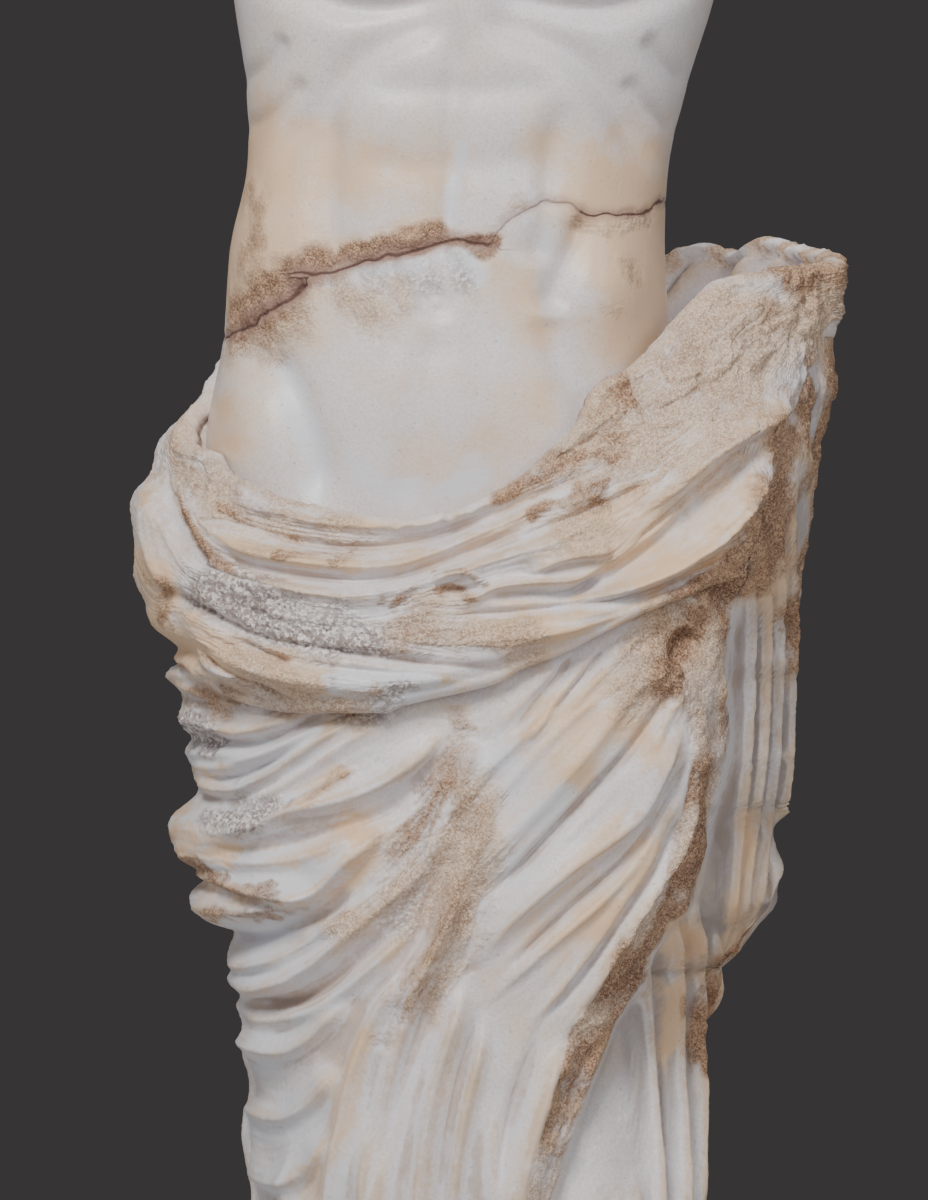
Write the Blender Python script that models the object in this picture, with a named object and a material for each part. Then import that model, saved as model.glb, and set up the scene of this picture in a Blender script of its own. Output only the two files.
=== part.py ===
import math

import bmesh
import bpy
import numpy as np

# Driving sizes in millimetres. The statue is a standing figure whose neck and shoulders end in
# old breaks, on a low base cut from the same block. The figure's own tables count in shares of
# the carved height: 1650 shares reach from the underside to the top of the neck.
MILLIMETRE = 0.001
CARVED_HEIGHT = 1650.0
SHARES = 1650
SHARE = CARVED_HEIGHT / SHARES

BASE_HALF_WIDTH = 235.0
BASE_HALF_DEPTH = 190.0
BASE_HEIGHT = 72.0
BASE_CENTRE = (25.0, -22.0)
BASE_CORNERS = 4.5
BASE_EDGE = 9.0
BASE_UNEVEN = [(0.012, 5, 0), (0.008, 11, 1)]
CUT_BELOW = 10.0
RIM_WALL = 20.0

VOXEL = 6.0
TRIANGLES = 9400
ANGLE_STEPS = 300
LEVEL_STEP = 4.5

STONE = (0.74, 0.69, 0.61, 1.0)
STONE_ROUGHNESS = 0.5

# The bare body: height, half width at its right, half width at its left, depth in front,
# depth behind, and how far the section's middle is shifted sideways and backwards.
BODY = [
    (840, 150, 150, 100, 100, -6, 0),
    (1000, 168, 166, 112, 114, -8, 0),
    (1120, 158, 160, 112, 100, -6, 0),
    (1180, 150, 152, 109, 88, -3, 0),
    (1235, 148, 145, 108, 82, 0, 0),
    (1291, 142, 142, 108, 84, 5, 0),
    (1350, 148, 150, 113, 92, 10, 0),
    (1410, 160, 164, 118, 102, 14, 2),
    (1470, 168, 172, 116, 110, 18, 5),
    (1525, 172, 180, 100, 108, 22, 8),
    (1570, 150, 160, 82, 96, 24, 12),
    (1598, 92, 104, 70, 82, 25, 13),
    (1622, 66, 70, 64, 70, 25, 8),
    (1650, 60, 63, 62, 64, 26, 2),
    (1680, 60, 62, 62, 62, 26, -2),
]
BODY_SQUARENESS = 2.35
BODY_FOOT = 850
NECK_BREAK = (1600, 1650)
NECK_BREAK_WAVE = 6
NECK_BREAK_SLANT = 0.06
NECK_MIDDLE = 26

# Hollows and swellings of the bare body: three points across the front, height, reach.
BODY_LINES = [
    ((6, 1400), (1, 1290), (-9, 1210), -5, 10),
    ((-9, 1190), (-20, 1130), (-33, 1050), -2, 12),
    ((-140, 1182), (-100, 1118), (-76, 1062), -8, 11),
    ((-78, 1340), (-80, 1260), (-66, 1205), -5, 13),
    ((74, 1340), (62, 1260), (52, 1200), -5, 13),
    ((80, 1262), (100, 1242), (62, 1202), -5, 9),
    ((-70, 1292), (0, 1286), (72, 1292), -3, 8),
    ((-66, 1345), (8, 1340), (76, 1345), -3, 8),
    ((-118, 1290), (-55, 1368), (10, 1392), -6, 12),
    ((136, 1290), (80, 1368), (14, 1392), -6, 12),
    ((-140, 1432), (-60, 1396), (12, 1408), -9, 10),
    ((176, 1432), (96, 1396), (16, 1408), -9, 10),
    ((16, 1560), (14, 1480), (13, 1410), -7, 12),
    ((-110, 1572), (-40, 1578), (14, 1560), 6, 9),
    ((156, 1572), (84, 1578), (28, 1560), 6, 9),
]
BODY_SWELLINGS = [
    (-9, 1200, 9, 8, -6),
    (-14, 1140, 60, 62, 7),
    (-124, 1238, 28, 52, 7),
    (96, 1232, 34, 50, 9),
    (-64, 1448, 66, 44, 15),
    (98, 1448, 66, 44, 15),
]
BACK_LINES = [
    ((24, 1560), (8, 1350), (0, 1180), -11, 15),
    ((-80, 1530), (-62, 1450), (-90, 1400), 10, 26),
    ((128, 1530), (112, 1450), (140, 1400), 10, 26),
]

# Outline of the cloth seen from in front: (height, distance from the middle).
OUTLINE_RIGHT_SIDE = [
    (60, 172), (200, 158), (300, 149), (430, 142), (500, 140), (560, 141), (600, 134), (640, 141),
    (672, 135), (700, 142), (720, 140), (729, 144), (737, 141), (747, 151), (755, 147), (762, 152),
    (779, 147), (799, 178), (815, 165), (832, 184), (847, 190), (858, 187), (876, 171), (887, 175),
    (900, 179), (910, 176), (925, 185), (937, 180), (955, 193), (966, 189), (996, 207), (1020, 211),
    (1050, 214), (1072, 215), (1081, 206), (1110, 200), (1143, 180), (1163, 167), (1195, 152),
]
OUTLINE_LEFT_SIDE = [
    (60, 192), (200, 178), (300, 170), (400, 168), (500, 170), (600, 174), (690, 178), (752, 180),
    (757, 190), (780, 207), (800, 222), (848, 224), (870, 233), (944, 235), (960, 237), (977, 233),
    (1003, 237), (1043, 243), (1118, 252), (1149, 260), (1183, 263), (1220, 270), (1240, 262),
]

# Distance of the cloth from the upright axis, round the figure from behind its right side.
ANGLES = [-180, -150, -120, -90, -60, -30, 0, 30, 45, 60, 75, 90, 105, 118, 130, 150]
DRAPE = [
    (1250, [112, 118, 128, 142, 140, 120, 108, 120, 135, 165, 222, 258, 256, 236, 190, 136]),
    (1200, [115, 122, 138, 152, 146, 126, 112, 128, 146, 180, 232, 258, 254, 234, 190, 138]),
    (1150, [122, 132, 154, 170, 158, 134, 116, 136, 160, 204, 244, 254, 248, 228, 190, 142]),
    (1100, [128, 138, 166, 184, 170, 142, 122, 146, 182, 230, 246, 246, 246, 226, 190, 148]),
    (1050, [134, 145, 174, 190, 178, 150, 128, 156, 194, 232, 238, 240, 242, 224, 190, 150]),
    (1000, [138, 150, 174, 189, 178, 154, 134, 164, 198, 225, 232, 234, 237, 221, 188, 150]),
    (950, [138, 150, 172, 182, 174, 154, 138, 168, 200, 220, 228, 230, 234, 219, 186, 150]),
    (900, [134, 146, 166, 175, 168, 152, 140, 170, 198, 216, 222, 226, 233, 217, 184, 146]),
    (850, [128, 140, 160, 169, 163, 150, 140, 168, 190, 206, 212, 218, 226, 211, 180, 140]),
    (800, [122, 134, 154, 162, 157, 147, 140, 164, 182, 196, 204, 212, 222, 206, 174, 132]),
    (760, [118, 130, 148, 153, 151, 145, 140, 160, 172, 180, 186, 194, 198, 184, 160, 126]),
    (716, [114, 125, 142, 142, 144, 142, 138, 152, 158, 164, 172, 178, 182, 166, 146, 122]),
    (600, [108, 116, 130, 134, 135, 138, 140, 146, 148, 152, 162, 170, 168, 150, 130, 114]),
    (400, [110, 118, 130, 136, 134, 136, 138, 142, 142, 146, 156, 162, 162, 148, 132, 116]),
    (200, [126, 134, 146, 152, 144, 140, 138, 140, 142, 148, 160, 170, 172, 164, 150, 134]),
    (60, [142, 150, 160, 166, 154, 144, 140, 144, 150, 158, 172, 184, 186, 178, 164, 150]),
]

# The thick twisted edge of the mantle round the hips, over the skirt: top and bottom by
# distance sideways, in front and behind, and then where its top passes the two hips.
ROLL_TOP_FRONT = [
    (-168, 1103), (-140, 1083), (-113, 1071), (-70, 1062), (-33, 1057), (0, 1062), (20, 1070),
    (47, 1085), (83, 1115), (100, 1140), (127, 1156), (148, 1175), (180, 1207), (207, 1220),
    (263, 1237),
]
ROLL_TOP_ROUND = [
    (-180, 1195), (-125, 1200), (-104, 1194), (-90, 1152), (-78, 1110), (78, 1226), (92, 1238),
    (98, 1242), (106, 1247), (114, 1254), (119, 1244), (124, 1251), (130, 1242), (137, 1260),
    (150, 1226), (180, 1195),
]
ROLL_BOTTOM_FRONT = [
    (-215, 990), (-188, 967), (-150, 939), (-107, 929), (-43, 929), (-13, 938), (33, 949),
    (73, 967), (127, 994), (180, 1013), (198, 1018), (213, 1057), (233, 1117), (262, 1180),
]
ROLL_BOTTOM_BACK = [(-215, 990), (-100, 985), (0, 1005), (110, 1050), (200, 1110), (262, 1180)]
ROLL_THICKNESS = [(-215, 22), (-60, 27), (20, 26), (110, 20), (190, 13), (230, 6), (262, 2)]
ROLL_LIP = 9
ROLL_LIP_OVERHANG = 12
ROLL_TAPER = (60, 0.5)
POCKET_FLOOR = [(-180, 12), (50, 12), (68, 26), (90, 58), (125, 70), (140, 20), (180, 12)]
POCKET_PLEAT = 9.5
POCKET_PLEAT_DEPTH = 6.0
POCKET_ANGLES = (84, 96, 132, 140)
POCKET_SLOPE = 14

# The front panel ends along a broken edge, behind which the hanging folds lie deeper.
BREAK_EDGE = [
    (520, 40), (620, 66), (716, 103), (737, 117), (770, 137), (800, 159), (830, 168), (863, 177),
    (900, 185), (937, 183), (1007, 190), (1030, 203), (1057, 213), (1093, 227), (1125, 240),
]
BREAK_WIDTH = [(520, 14), (716, 16), (790, 26), (840, 8), (900, 18), (950, 30), (1010, 12), (1125, 8)]
BREAK_DEPTH = [(520, 0), (620, 14), (716, 30), (800, 38), (950, 36), (1030, 30), (1090, 18), (1140, 0)]
BREAK_LIP = 0.2

# How far folds near the sides are pushed forwards instead of outwards, and the angles between
# which the front's folds give way to the back's.
FOLD_FORWARD = 0.75
FRONT_ENDS = (84, 100)
FORWARD_ENDS = (84, 112)
BREAK_ENDS = (70, 100)

# Folds: three points on the front, height, reach above the line and reach below it.
ROLL_FOLDS = [
    ((-150, 1074), (-45, 1050), (75, 1089), 9, 7, 5),
    ((-155, 1052), (-50, 1029), (98, 1082), 9, 7, 5),
    ((-147, 1027), (-45, 1005), (104, 1040), 9, 8, 6),
    ((-178, 1015), (-90, 974), (43, 959), -11, 5, 5),
    ((-165, 988), (-90, 956), (32, 954), 7, 9, 9),
    ((-200, 1003), (-167, 960), (-113, 933), -6, 5, 5),
    ((-200, 1097), (-185, 1063), (-150, 1024), -12, 6, 6),
    ((40, 1003), (127, 1018), (218, 1092), 12, 8, 7),
    ((60, 1010), (130, 1038), (216, 1112), -15, 11, 9),
    ((-7, 994), (113, 1006), (188, 1041), -8, 5, 5),
    ((15, 970), (100, 990), (165, 1011), 8, 10, 9),
    ((124, 1063), (168, 1096), (222, 1126), 13, 16, 5),
    ((7, 1029), (62, 1050), (128, 1086), -8, 5, 5),
]
THIGH_FOLDS = [
    ((-192, 953), (-170, 944), (-140, 936), 7, 7, 6),
    ((-186, 925), (-140, 914), (-98, 926), 9, 7, 5),
    ((-177, 886), (-138, 891), (-90, 918), 10, 8, 5),
    ((-128, 880), (-100, 898), (-66, 922), 6, 5, 5),
    ((-160, 852), (-75, 874), (-6, 924), 12, 9, 6),
    ((-191, 843), (-112, 825), (-44, 858), 17, 13, 9),
    ((-179, 798), (-133, 793), (-84, 809), 11, 8, 7),
    ((-153, 762), (-113, 760), (-64, 789), 10, 8, 7),
    ((-151, 745), (-73, 779), (-18, 840), 13, 9, 8),
    ((-26, 828), (0, 877), (18, 920), 12, 9, 9),
    ((-144, 728), (-100, 735), (-58, 765), 8, 7, 7),
    ((-47, 715), (-7, 790), (27, 892), 13, 10, 9),
]
PANEL_FOLDS = [
    ((35, 925), (56, 948), (74, 966), 6, 5, 5),
    ((7, 868), (47, 918), (88, 962), 8, 7, 6),
    ((72, 936), (92, 958), (112, 980), 6, 5, 5),
    ((8, 830), (60, 877), (118, 940), 12, 13, 9),
    ((20, 801), (75, 856), (140, 942), -9, 5, 5),
    ((10, 752), (98, 836), (160, 936), 15, 12, 8),
    ((33, 751), (113, 831), (154, 892), -10, 5, 5),
    ((20, 729), (100, 806), (154, 896), 8, 6, 6),
    ((60, 722), (114, 799), (160, 882), -8, 5, 5),
    ((72, 712), (132, 806), (167, 892), 10, 6, 6),
]
HANGING_FOLDS = [
    ((205, 1060), (202, 940), (198, 800), 10, 5, 5),
    ((196, 1010), (190, 900), (180, 780), -9, 5, 5),
    ((214, 1060), (212, 930), (208, 790), -9, 4, 4),
    ((224, 1100), (222, 950), (217, 800), 10, 5, 5),
    ((232, 1060), (229, 950), (223, 830), -7, 3, 3),
    ((150, 800), (146, 740), (134, 640), -9, 5, 5),
    ((166, 810), (163, 740), (152, 640), -8, 5, 5),
    ((182, 830), (182, 780), (181, 750), -8, 4, 4),
]
# Below the knees the folds run down to the hem: sideways place at the top and at the hem.
SHIN_FOLDS = [
    (-128, -136, 7), (-104, -112, 9), (-76, -84, 10), (-52, -58, 13), (-22, -30, 15),
    (4, 0, 12), (30, 28, 13), (62, 70, 9), (112, 116, 9), (142, 148, 10),
]
SHIN_TOP = 610.0
SHIN_BOTTOM = 60.0
# Between the thighs and the shins: the swags over the standing leg, the folds that run down
# from the free hip, and the free knee pushing the cloth forward.
SWAGS = 5
SWAG_TOP = 706.0
SWAG_SPACING = 44.0
RUNNING_FOLDS = [
    ((-18, 790), (-62, 690), (-84, 560), 12, 9, 9),
    ((14, 838), (-34, 700), (-56, 520), 12, 11, 9),
    ((14, 762), (-16, 650), (-26, 480), 14, 11, 8),
    ((26, 738), (2, 620), (-2, 440), 11, 8, 8),
    ((78, 722), (42, 610), (30, 430), 12, 8, 8),
    ((118, 760), (84, 650), (70, 520), 7, 8, 8),
]
KNEE = (100, 598, 52, 84, 16)
SHIN_TOP_SPREAD = 75.0
HEM = 108.0
HEM_RECESS = 12.0
BACK_SWAG = 46.0
BACK_SWAG_SLANT = 150
BACK_SWAG_WAVE = 60
BACK_PLEATS = 9
BACK_PLEATS_TOP = (640, 760)
SIDE_PLEATS_TOP = (1150, 1220)
SIDE_PLEATS_ANGLES = (84, 96, 132, 158)
CLOTH_TOP = 1262

# The two feet, each with its heel's place, its turn outwards and its length.
FEET = [(-88.0, 20.0, -14.0, 250.0), (112.0, -18.0, 24.0, 250.0)]
FOOT_SECTIONS = [
    (0.00, 26, 52), (0.10, 34, 66), (0.35, 36, 84), (0.55, 44, 58), (0.74, 49, 36), (0.84, 48, 28),
]
TOES = [(-36, 0.97, 14), (-15, 1.0, 10), (2, 0.97, 9.5), (18, 0.93, 9), (33, 0.87, 8.5)]

# Stumps of the arms: shoulder, direction, length to the break and radius.
SHOULDERS = [
    ((-126, 8, 1530), (-0.34, 0.02, -0.94), 92, 60),
    ((176, 10, 1532), (0.32, 0.04, -0.95), 84, 60),
]


def slopes(x, y):
    step = np.diff(x)
    rise = np.diff(y, axis=0) / (step if y.ndim == 1 else step[:, None])
    before, after = rise[:-1], rise[1:]
    same = before * after > 0
    slope = np.zeros_like(y)
    slope[1:-1] = np.where(same, 2 * before * after / np.where(same, before + after, 1), 0)
    slope[0], slope[-1] = rise[0], rise[-1]
    return slope


def through(keys, t):
    """Smooth curve through (place, value) keys, without overshoot."""
    x, y = np.array(keys, float).T
    slope = slopes(x, y)
    t = np.clip(t, x[0], x[-1])
    i = np.clip(np.searchsorted(x, t) - 1, 0, len(x) - 2)
    step = x[i + 1] - x[i]
    s = (t - x[i]) / step
    lower = (2 * s**3 - 3 * s**2 + 1) * y[i] + (s**3 - 2 * s**2 + s) * step * slope[i]
    upper = (3 * s**2 - 2 * s**3) * y[i + 1] + (s**3 - s**2) * step * slope[i + 1]
    return lower + upper


def ramp(low, high, t):
    s = np.clip((t - low) / (high - low), 0, 1)
    return s * s * (3 - 2 * s)


def drape_distance(angle, height):
    """Distance of the cloth from the axis at each grid point, from the DRAPE table."""
    degrees = np.arange(-180, 181, 1.0)
    rows = []
    for level, values in sorted(DRAPE):
        keys = list(zip(ANGLES, values))
        wrapped = [(a - 360, v) for a, v in keys[-2:]] + keys + [(a + 360, v) for a, v in keys[:2]]
        rows.append(through(wrapped, degrees))
    rows = np.array(rows)
    levels = np.array(sorted(level for level, values in DRAPE), float)
    slope = slopes(levels, rows)
    z = np.clip(height, levels[0], levels[-1])
    i = np.clip(np.searchsorted(levels, z) - 1, 0, len(levels) - 2)
    step = levels[i + 1] - levels[i]
    s = (z - levels[i]) / step
    place = np.clip(angle + 180, 0, 359.999)
    j = place.astype(int)
    share = place - j

    def pick(values, row):
        return values[row, j] * (1 - share) + values[row, j + 1] * share

    lower = (2 * s**3 - 3 * s**2 + 1) * pick(rows, i) + (s**3 - 2 * s**2 + s) * step * pick(slope, i)
    upper = (3 * s**2 - 2 * s**3) * pick(rows, i + 1) + (s**3 - s**2) * step * pick(slope, i + 1)
    return lower + upper


def bow(start, middle, end, steps=14):
    """Points along the smooth arc through three points."""
    t = np.linspace(0, 1, steps)[:, None]
    start, middle, end = (np.array(p, float) for p in (start, middle, end))
    control = 2 * middle - (start + end) / 2
    return (1 - t)**2 * start + 2 * t * (1 - t) * control + t**2 * end


def fold(x, z, line, height, above, below, fade=0.16):
    """Height that one fold adds at points (x, z) of the front."""
    reach = 2.4 * max(above, below)
    near = (x > line[:, 0].min() - reach) & (x < line[:, 0].max() + reach)
    near &= (z > line[:, 1].min() - reach) & (z < line[:, 1].max() + reach)
    added = np.zeros(x.shape)
    px, pz = x[near], z[near]
    best = np.full(px.shape, 1e9)
    side = np.zeros(px.shape)
    along = np.zeros(px.shape)
    for i in range(len(line) - 1):
        dx, dz = line[i + 1] - line[i]
        s = np.clip(((px - line[i, 0]) * dx + (pz - line[i, 1]) * dz) / (dx * dx + dz * dz), 0, 1)
        ex, ez = px - line[i, 0] - s * dx, pz - line[i, 1] - s * dz
        away = ex * ex + ez * ez
        closer = away < best
        best = np.where(closer, away, best)
        side = np.where(closer, dx * ez - dz * ex, side)
        along = np.where(closer, (i + s) / (len(line) - 1), along)
    width = np.where(side > 0, above, below)
    ends = ramp(0, fade, along) * (1 - ramp(1 - fade, 1, along))
    added[near] = height * np.exp(-best / width**2) * ends
    return added


def ring_mesh(rings, bm):
    """Adds a closed skin over a stack of rings in millimetres, with a fan over each end."""
    count, around = rings.shape[:2]
    verts = [[bm.verts.new(p * MILLIMETRE) for p in ring] for ring in rings]
    for i in range(count - 1):
        for j in range(around):
            k = (j + 1) % around
            bm.faces.new((verts[i][j], verts[i][k], verts[i + 1][k], verts[i + 1][j]))
    for ring, flip in ((verts[0], True), (verts[-1], False)):
        middle = bm.verts.new(sum((v.co for v in ring), ring[0].co * 0) / around)
        for j in range(around):
            pair = (ring[j], ring[(j + 1) % around])
            bm.faces.new((middle, *(reversed(pair) if flip else pair)))


def body_rings():
    angle, height = np.meshgrid(
        np.linspace(-180, 180, ANGLE_STEPS, endpoint=False),
        np.arange(BODY_FOOT, NECK_BREAK[1] + 1, LEVEL_STEP))
    columns = np.array(BODY, float)
    right, left, front, behind, middle, back = (
        through(np.column_stack([columns[:, 0], columns[:, k]]), height) for k in range(1, 7))
    sine, cosine = np.sin(np.radians(angle)), np.cos(np.radians(angle))
    across = np.abs(sine) / np.where(sine < 0, right, left)
    deep = np.abs(cosine) / np.where(cosine > 0, front, behind)
    distance = (across**BODY_SQUARENESS + deep**BODY_SQUARENESS)**(-1 / BODY_SQUARENESS)
    x = middle + distance * sine
    y = back - distance * cosine
    relief = np.zeros(x.shape)
    facing = ramp(-0.15, 0.35, cosine)
    for start, centre, end, depth, reach in BODY_LINES:
        relief += facing * fold(x, height, bow(start, centre, end), depth, reach, reach)
    for across_at, up_at, wide, tall, swell in BODY_SWELLINGS:
        relief += facing * swell * np.exp(-((x - across_at) / wide)**2 - ((height - up_at) / tall)**2)
    for start, centre, end, depth, reach in BACK_LINES:
        relief += (1 - facing) * fold(x, height, bow(start, centre, end), depth, reach, reach)
    uneven = NECK_BREAK_WAVE * np.sin(np.radians(angle) * 2) + NECK_BREAK_SLANT * (x - NECK_MIDDLE)
    top = height + ramp(*NECK_BREAK, height) * uneven
    return np.dstack([x + relief * sine, y - relief * cosine, top])


def between(low, low_end, high, high_end, angle):
    """One between the inner two of four angles, and nought outside the outer two."""
    return ramp(low, low_end, angle) * (1 - ramp(high, high_end, angle))


def roll_top(angle, x):
    share = ramp(66, 84, np.abs(angle))
    return through(ROLL_TOP_FRONT, x) * (1 - share) + through(ROLL_TOP_ROUND, angle) * share


def cloth_relief(angle, x, z):
    """Height of the roll, the folds and the broken edge above the plain drape."""
    facing = 1 - ramp(*FRONT_ENDS, np.abs(angle))
    roll_bottom = facing * through(ROLL_BOTTOM_FRONT, x) + (1 - facing) * through(ROLL_BOTTOM_BACK, x)
    taper, thinner = ROLL_TAPER
    relief = through(ROLL_THICKNESS, x) * ramp(0, 1, (z - roll_bottom + 3) / ROLL_LIP_OVERHANG)**0.7
    relief *= 1 - thinner * ramp(-taper, 0, z - roll_top(angle, x))
    for start, middle, end, height, above, below in ROLL_FOLDS + THIGH_FOLDS + PANEL_FOLDS:
        relief += facing * fold(x, z, bow(start, middle, end), height, above, below)
    edge = through(BREAK_EDGE, z)
    worn = BREAK_LIP * ramp(0, 1, (x - edge) / through(BREAK_WIDTH, z) + 1)
    behind_edge = worn + (1 - BREAK_LIP) * ramp(-1, 5, x - edge)
    relief -= facing * through(BREAK_DEPTH, z) * behind_edge * (1 - ramp(*BREAK_ENDS, np.abs(angle)))
    for start, middle, end, height, above, below in HANGING_FOLDS:
        relief += facing * fold(x, z, bow(start, middle, end), height, above, below)
    for swag in range(SWAGS):
        level = SWAG_TOP - SWAG_SPACING * swag
        line = bow((-150, level + 2), (-104, level - 6), (-62 - 5 * swag, level + 34))
        relief += facing * fold(x, z, line, 9 - swag, 9, 7)
    for start, middle, end, height, above, below in RUNNING_FOLDS:
        relief += facing * fold(x, z, bow(start, middle, end), height, above, below)
    relief += facing * KNEE[4] * np.exp(-((x - KNEE[0]) / KNEE[2])**2 - ((z - KNEE[1]) / KNEE[3])**2)
    for index, (upper, lower, height) in enumerate(SHIN_FOLDS):
        top = SHIN_TOP + SHIN_TOP_SPREAD * math.sin(2.4 * index)
        line = bow((upper, top), ((upper + lower) / 2 - 4, 380), (lower, SHIN_BOTTOM))
        relief += facing * fold(x, z, line, height, 9, 9, 0.12)
    hem_recess = HEM_RECESS * facing * (1 - ramp(HEM - 6, HEM + 2, z))
    return relief - hem_recess + (1 - facing) * back_relief(angle, x, z, roll_bottom)


def back_relief(angle, x, z, roll_bottom):
    """Plainer folds behind: swags over the seat, and pleats below it and down the left side."""
    slant = z / BACK_SWAG + x / BACK_SWAG_SLANT + 0.5 * np.sin(x / BACK_SWAG_WAVE)
    swags = np.abs(np.sin(slant * math.pi))**1.6 * 9 - 4
    swags *= 1 - 0.5 * ramp(-20, 30, z - roll_bottom)
    pleats = np.abs(np.cos(np.radians(angle) * BACK_PLEATS + np.sin(z / 170)))**1.5 * 12 - 5
    hanging = between(*SIDE_PLEATS_ANGLES, angle) * (1 - ramp(*SIDE_PLEATS_TOP, z))
    upright = np.maximum(1 - ramp(*BACK_PLEATS_TOP, z), hanging)
    return swags * (1 - upright) + pleats * upright


def fit_outline(x, angle, z):
    """Draws the sides out to the outline that the figure shows from in front."""
    right_reach = np.maximum(-x, 0).max(axis=1, keepdims=True)
    left_reach = np.maximum(x, 0).max(axis=1, keepdims=True)
    level = z[:, :1]
    right = through(OUTLINE_RIGHT_SIDE, level) / right_reach
    left = through(OUTLINE_LEFT_SIDE, level) / left_reach
    side = np.clip(np.abs(np.sin(np.radians(angle))), 0, 1)**2
    return x * (1 + (np.where(x < 0, right, left) - 1) * side)


def cloth_rings():
    angles = np.linspace(-180, 180, ANGLE_STEPS, endpoint=False)
    levels = np.arange(SHIN_BOTTOM, CLOTH_TOP, LEVEL_STEP)
    angle, z = np.meshgrid(angles, levels)
    sine, cosine = np.sin(np.radians(angle)), np.cos(np.radians(angle))
    plain = drape_distance(angle, z)
    x = fit_outline(plain * sine, angle, z)
    relief = cloth_relief(angle, x, z)
    x = fit_outline((plain + relief) * sine, angle, z)
    facing = 1 - ramp(*FORWARD_ENDS, np.abs(angle))
    forward = cosine + FOLD_FORWARD * facing * (1 - cosine)
    y = -plain * cosine - relief * forward
    return x, y, z, roll_top(angle, x), angle


def cup_rings():
    """The cloth as one open cup: outer skin, rolled rim, inner wall and floor."""
    x, y, z, rim, angle = cloth_rings()
    columns = x.shape[1]
    rim_level = np.zeros(columns)
    for j in range(columns):
        above = np.nonzero(z[:, j] >= rim[:, j])[0]
        rim_level[j] = rim[above[0] if len(above) else -1, j]
    share = np.linspace(0, 1, len(z))[:, None]
    target = SHIN_BOTTOM + share * (rim_level[None, :] - SHIN_BOTTOM)
    rows = []
    for j in range(columns):
        rows.append([np.interp(target[:, j], z[:, j], v[:, j]) for v in (x, y)])
    outer_x = np.array([r[0] for r in rows]).T
    outer_y = np.array([r[1] for r in rows]).T
    reach = np.hypot(outer_x, outer_y)
    near_rim = np.clip((target - rim_level + ROLL_LIP) / ROLL_LIP, 0, 0.98)
    shrink = 1 - (1 - np.sqrt(1 - near_rim**2)) * ROLL_LIP / reach
    rings = [np.column_stack([outer_x[i] * shrink[i], outer_y[i] * shrink[i], target[i]])
             for i in range(len(target))]
    depth = through(POCKET_FLOOR, angle[0])
    pleats = POCKET_PLEAT_DEPTH * np.cos((angle[0] - 114) / POCKET_PLEAT * 2 * math.pi)
    pleats *= between(*POCKET_ANGLES, angle[0])
    wall = RIM_WALL / SHARE
    for inward, down in ((0.7 * wall, 1.0), (wall, 6.0)):
        scale = 1 - (inward + pleats) / reach[-1]
        rings.append(np.column_stack([outer_x[-1] * scale, outer_y[-1] * scale, rim_level - down]))
    for k in np.linspace(0.2, 1, 8):
        scale = 1 - (wall + pleats + POCKET_SLOPE * k) / reach[-1]
        rings.append(np.column_stack([outer_x[-1] * scale, outer_y[-1] * scale, rim_level - 6 - depth * k]))
    for k in (0.75, 0.5, 0.25, 0.08):
        rings.append(np.column_stack([outer_x[-1] * scale * k, outer_y[-1] * scale * k,
                                      rim_level - 6 - depth]))
    return np.array(rings)


def base_rings():
    angle = np.linspace(-math.pi, math.pi, 120, endpoint=False)
    sine, cosine = np.sin(angle), np.cos(angle)
    distance = np.abs(sine / BASE_HALF_WIDTH)**BASE_CORNERS + np.abs(cosine / BASE_HALF_DEPTH)**BASE_CORNERS
    distance = distance**(-1 / BASE_CORNERS)
    for share, waves, start in BASE_UNEVEN:
        distance *= 1 + share * np.sin(angle * waves + start)
    rings = []
    for z, inset in ((-CUT_BELOW, 0), (0.6 * BASE_HEIGHT, 0), (BASE_HEIGHT - BASE_EDGE, 0.2 * BASE_EDGE),
                     (BASE_HEIGHT, BASE_EDGE)):
        reach = distance - inset
        rings.append(np.column_stack([BASE_CENTRE[0] + reach * sine, BASE_CENTRE[1] - reach * cosine,
                                      np.full(len(angle), float(z))]))
    return np.array(rings)


def limb_rings(start, direction, length, radii, flat_below=None):
    """Rings along a straight limb; radii are (share of length, half width, half height)."""
    start, direction = np.array(start, float), np.array(direction, float)
    direction /= np.linalg.norm(direction)
    side = np.cross(direction, (0, 0, 1.0))
    side /= np.linalg.norm(side)
    up = np.cross(side, direction)
    turn = -np.linspace(0, 2 * math.pi, 40, endpoint=False)[:, None]
    rings = []
    for share, wide, tall in radii:
        centre = start + direction * length * share
        ring = centre + side * wide * np.cos(turn) + up * tall * np.sin(turn)
        if flat_below is not None:
            ring[:, 2] = np.maximum(ring[:, 2], flat_below)
        rings.append(ring)
    return np.array(rings)


def foot(bm, heel_x, heel_y, turn, length):
    """One foot and its toes, standing on the base."""
    heading = math.radians(turn)
    ahead = np.array([math.sin(heading), -math.cos(heading), 0.0])
    across = np.array([math.cos(heading), math.sin(heading), 0.0])
    if heel_x > 0:
        across = -across
    base_top = BASE_HEIGHT / SHARE
    heel = np.array([heel_x, heel_y, base_top])
    ring_mesh(SHARE * limb_rings(heel, ahead, length, FOOT_SECTIONS, base_top - 6), bm)
    for offset, reach, radius in TOES:
        root = heel + across * -offset + ahead * length * (reach - 0.24) + np.array([0, 0, radius * 1.2])
        tip = [(0, radius * 0.8, radius), (0.5, radius, radius), (0.8, radius * 1.05, radius * 0.9),
               (0.95, radius * 0.8, radius * 0.7), (1.0, radius * 0.4, radius * 0.35)]
        ring_mesh(SHARE * limb_rings(root, ahead + np.array([0, 0, -0.14]), length * 0.24, tip), bm)


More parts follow.
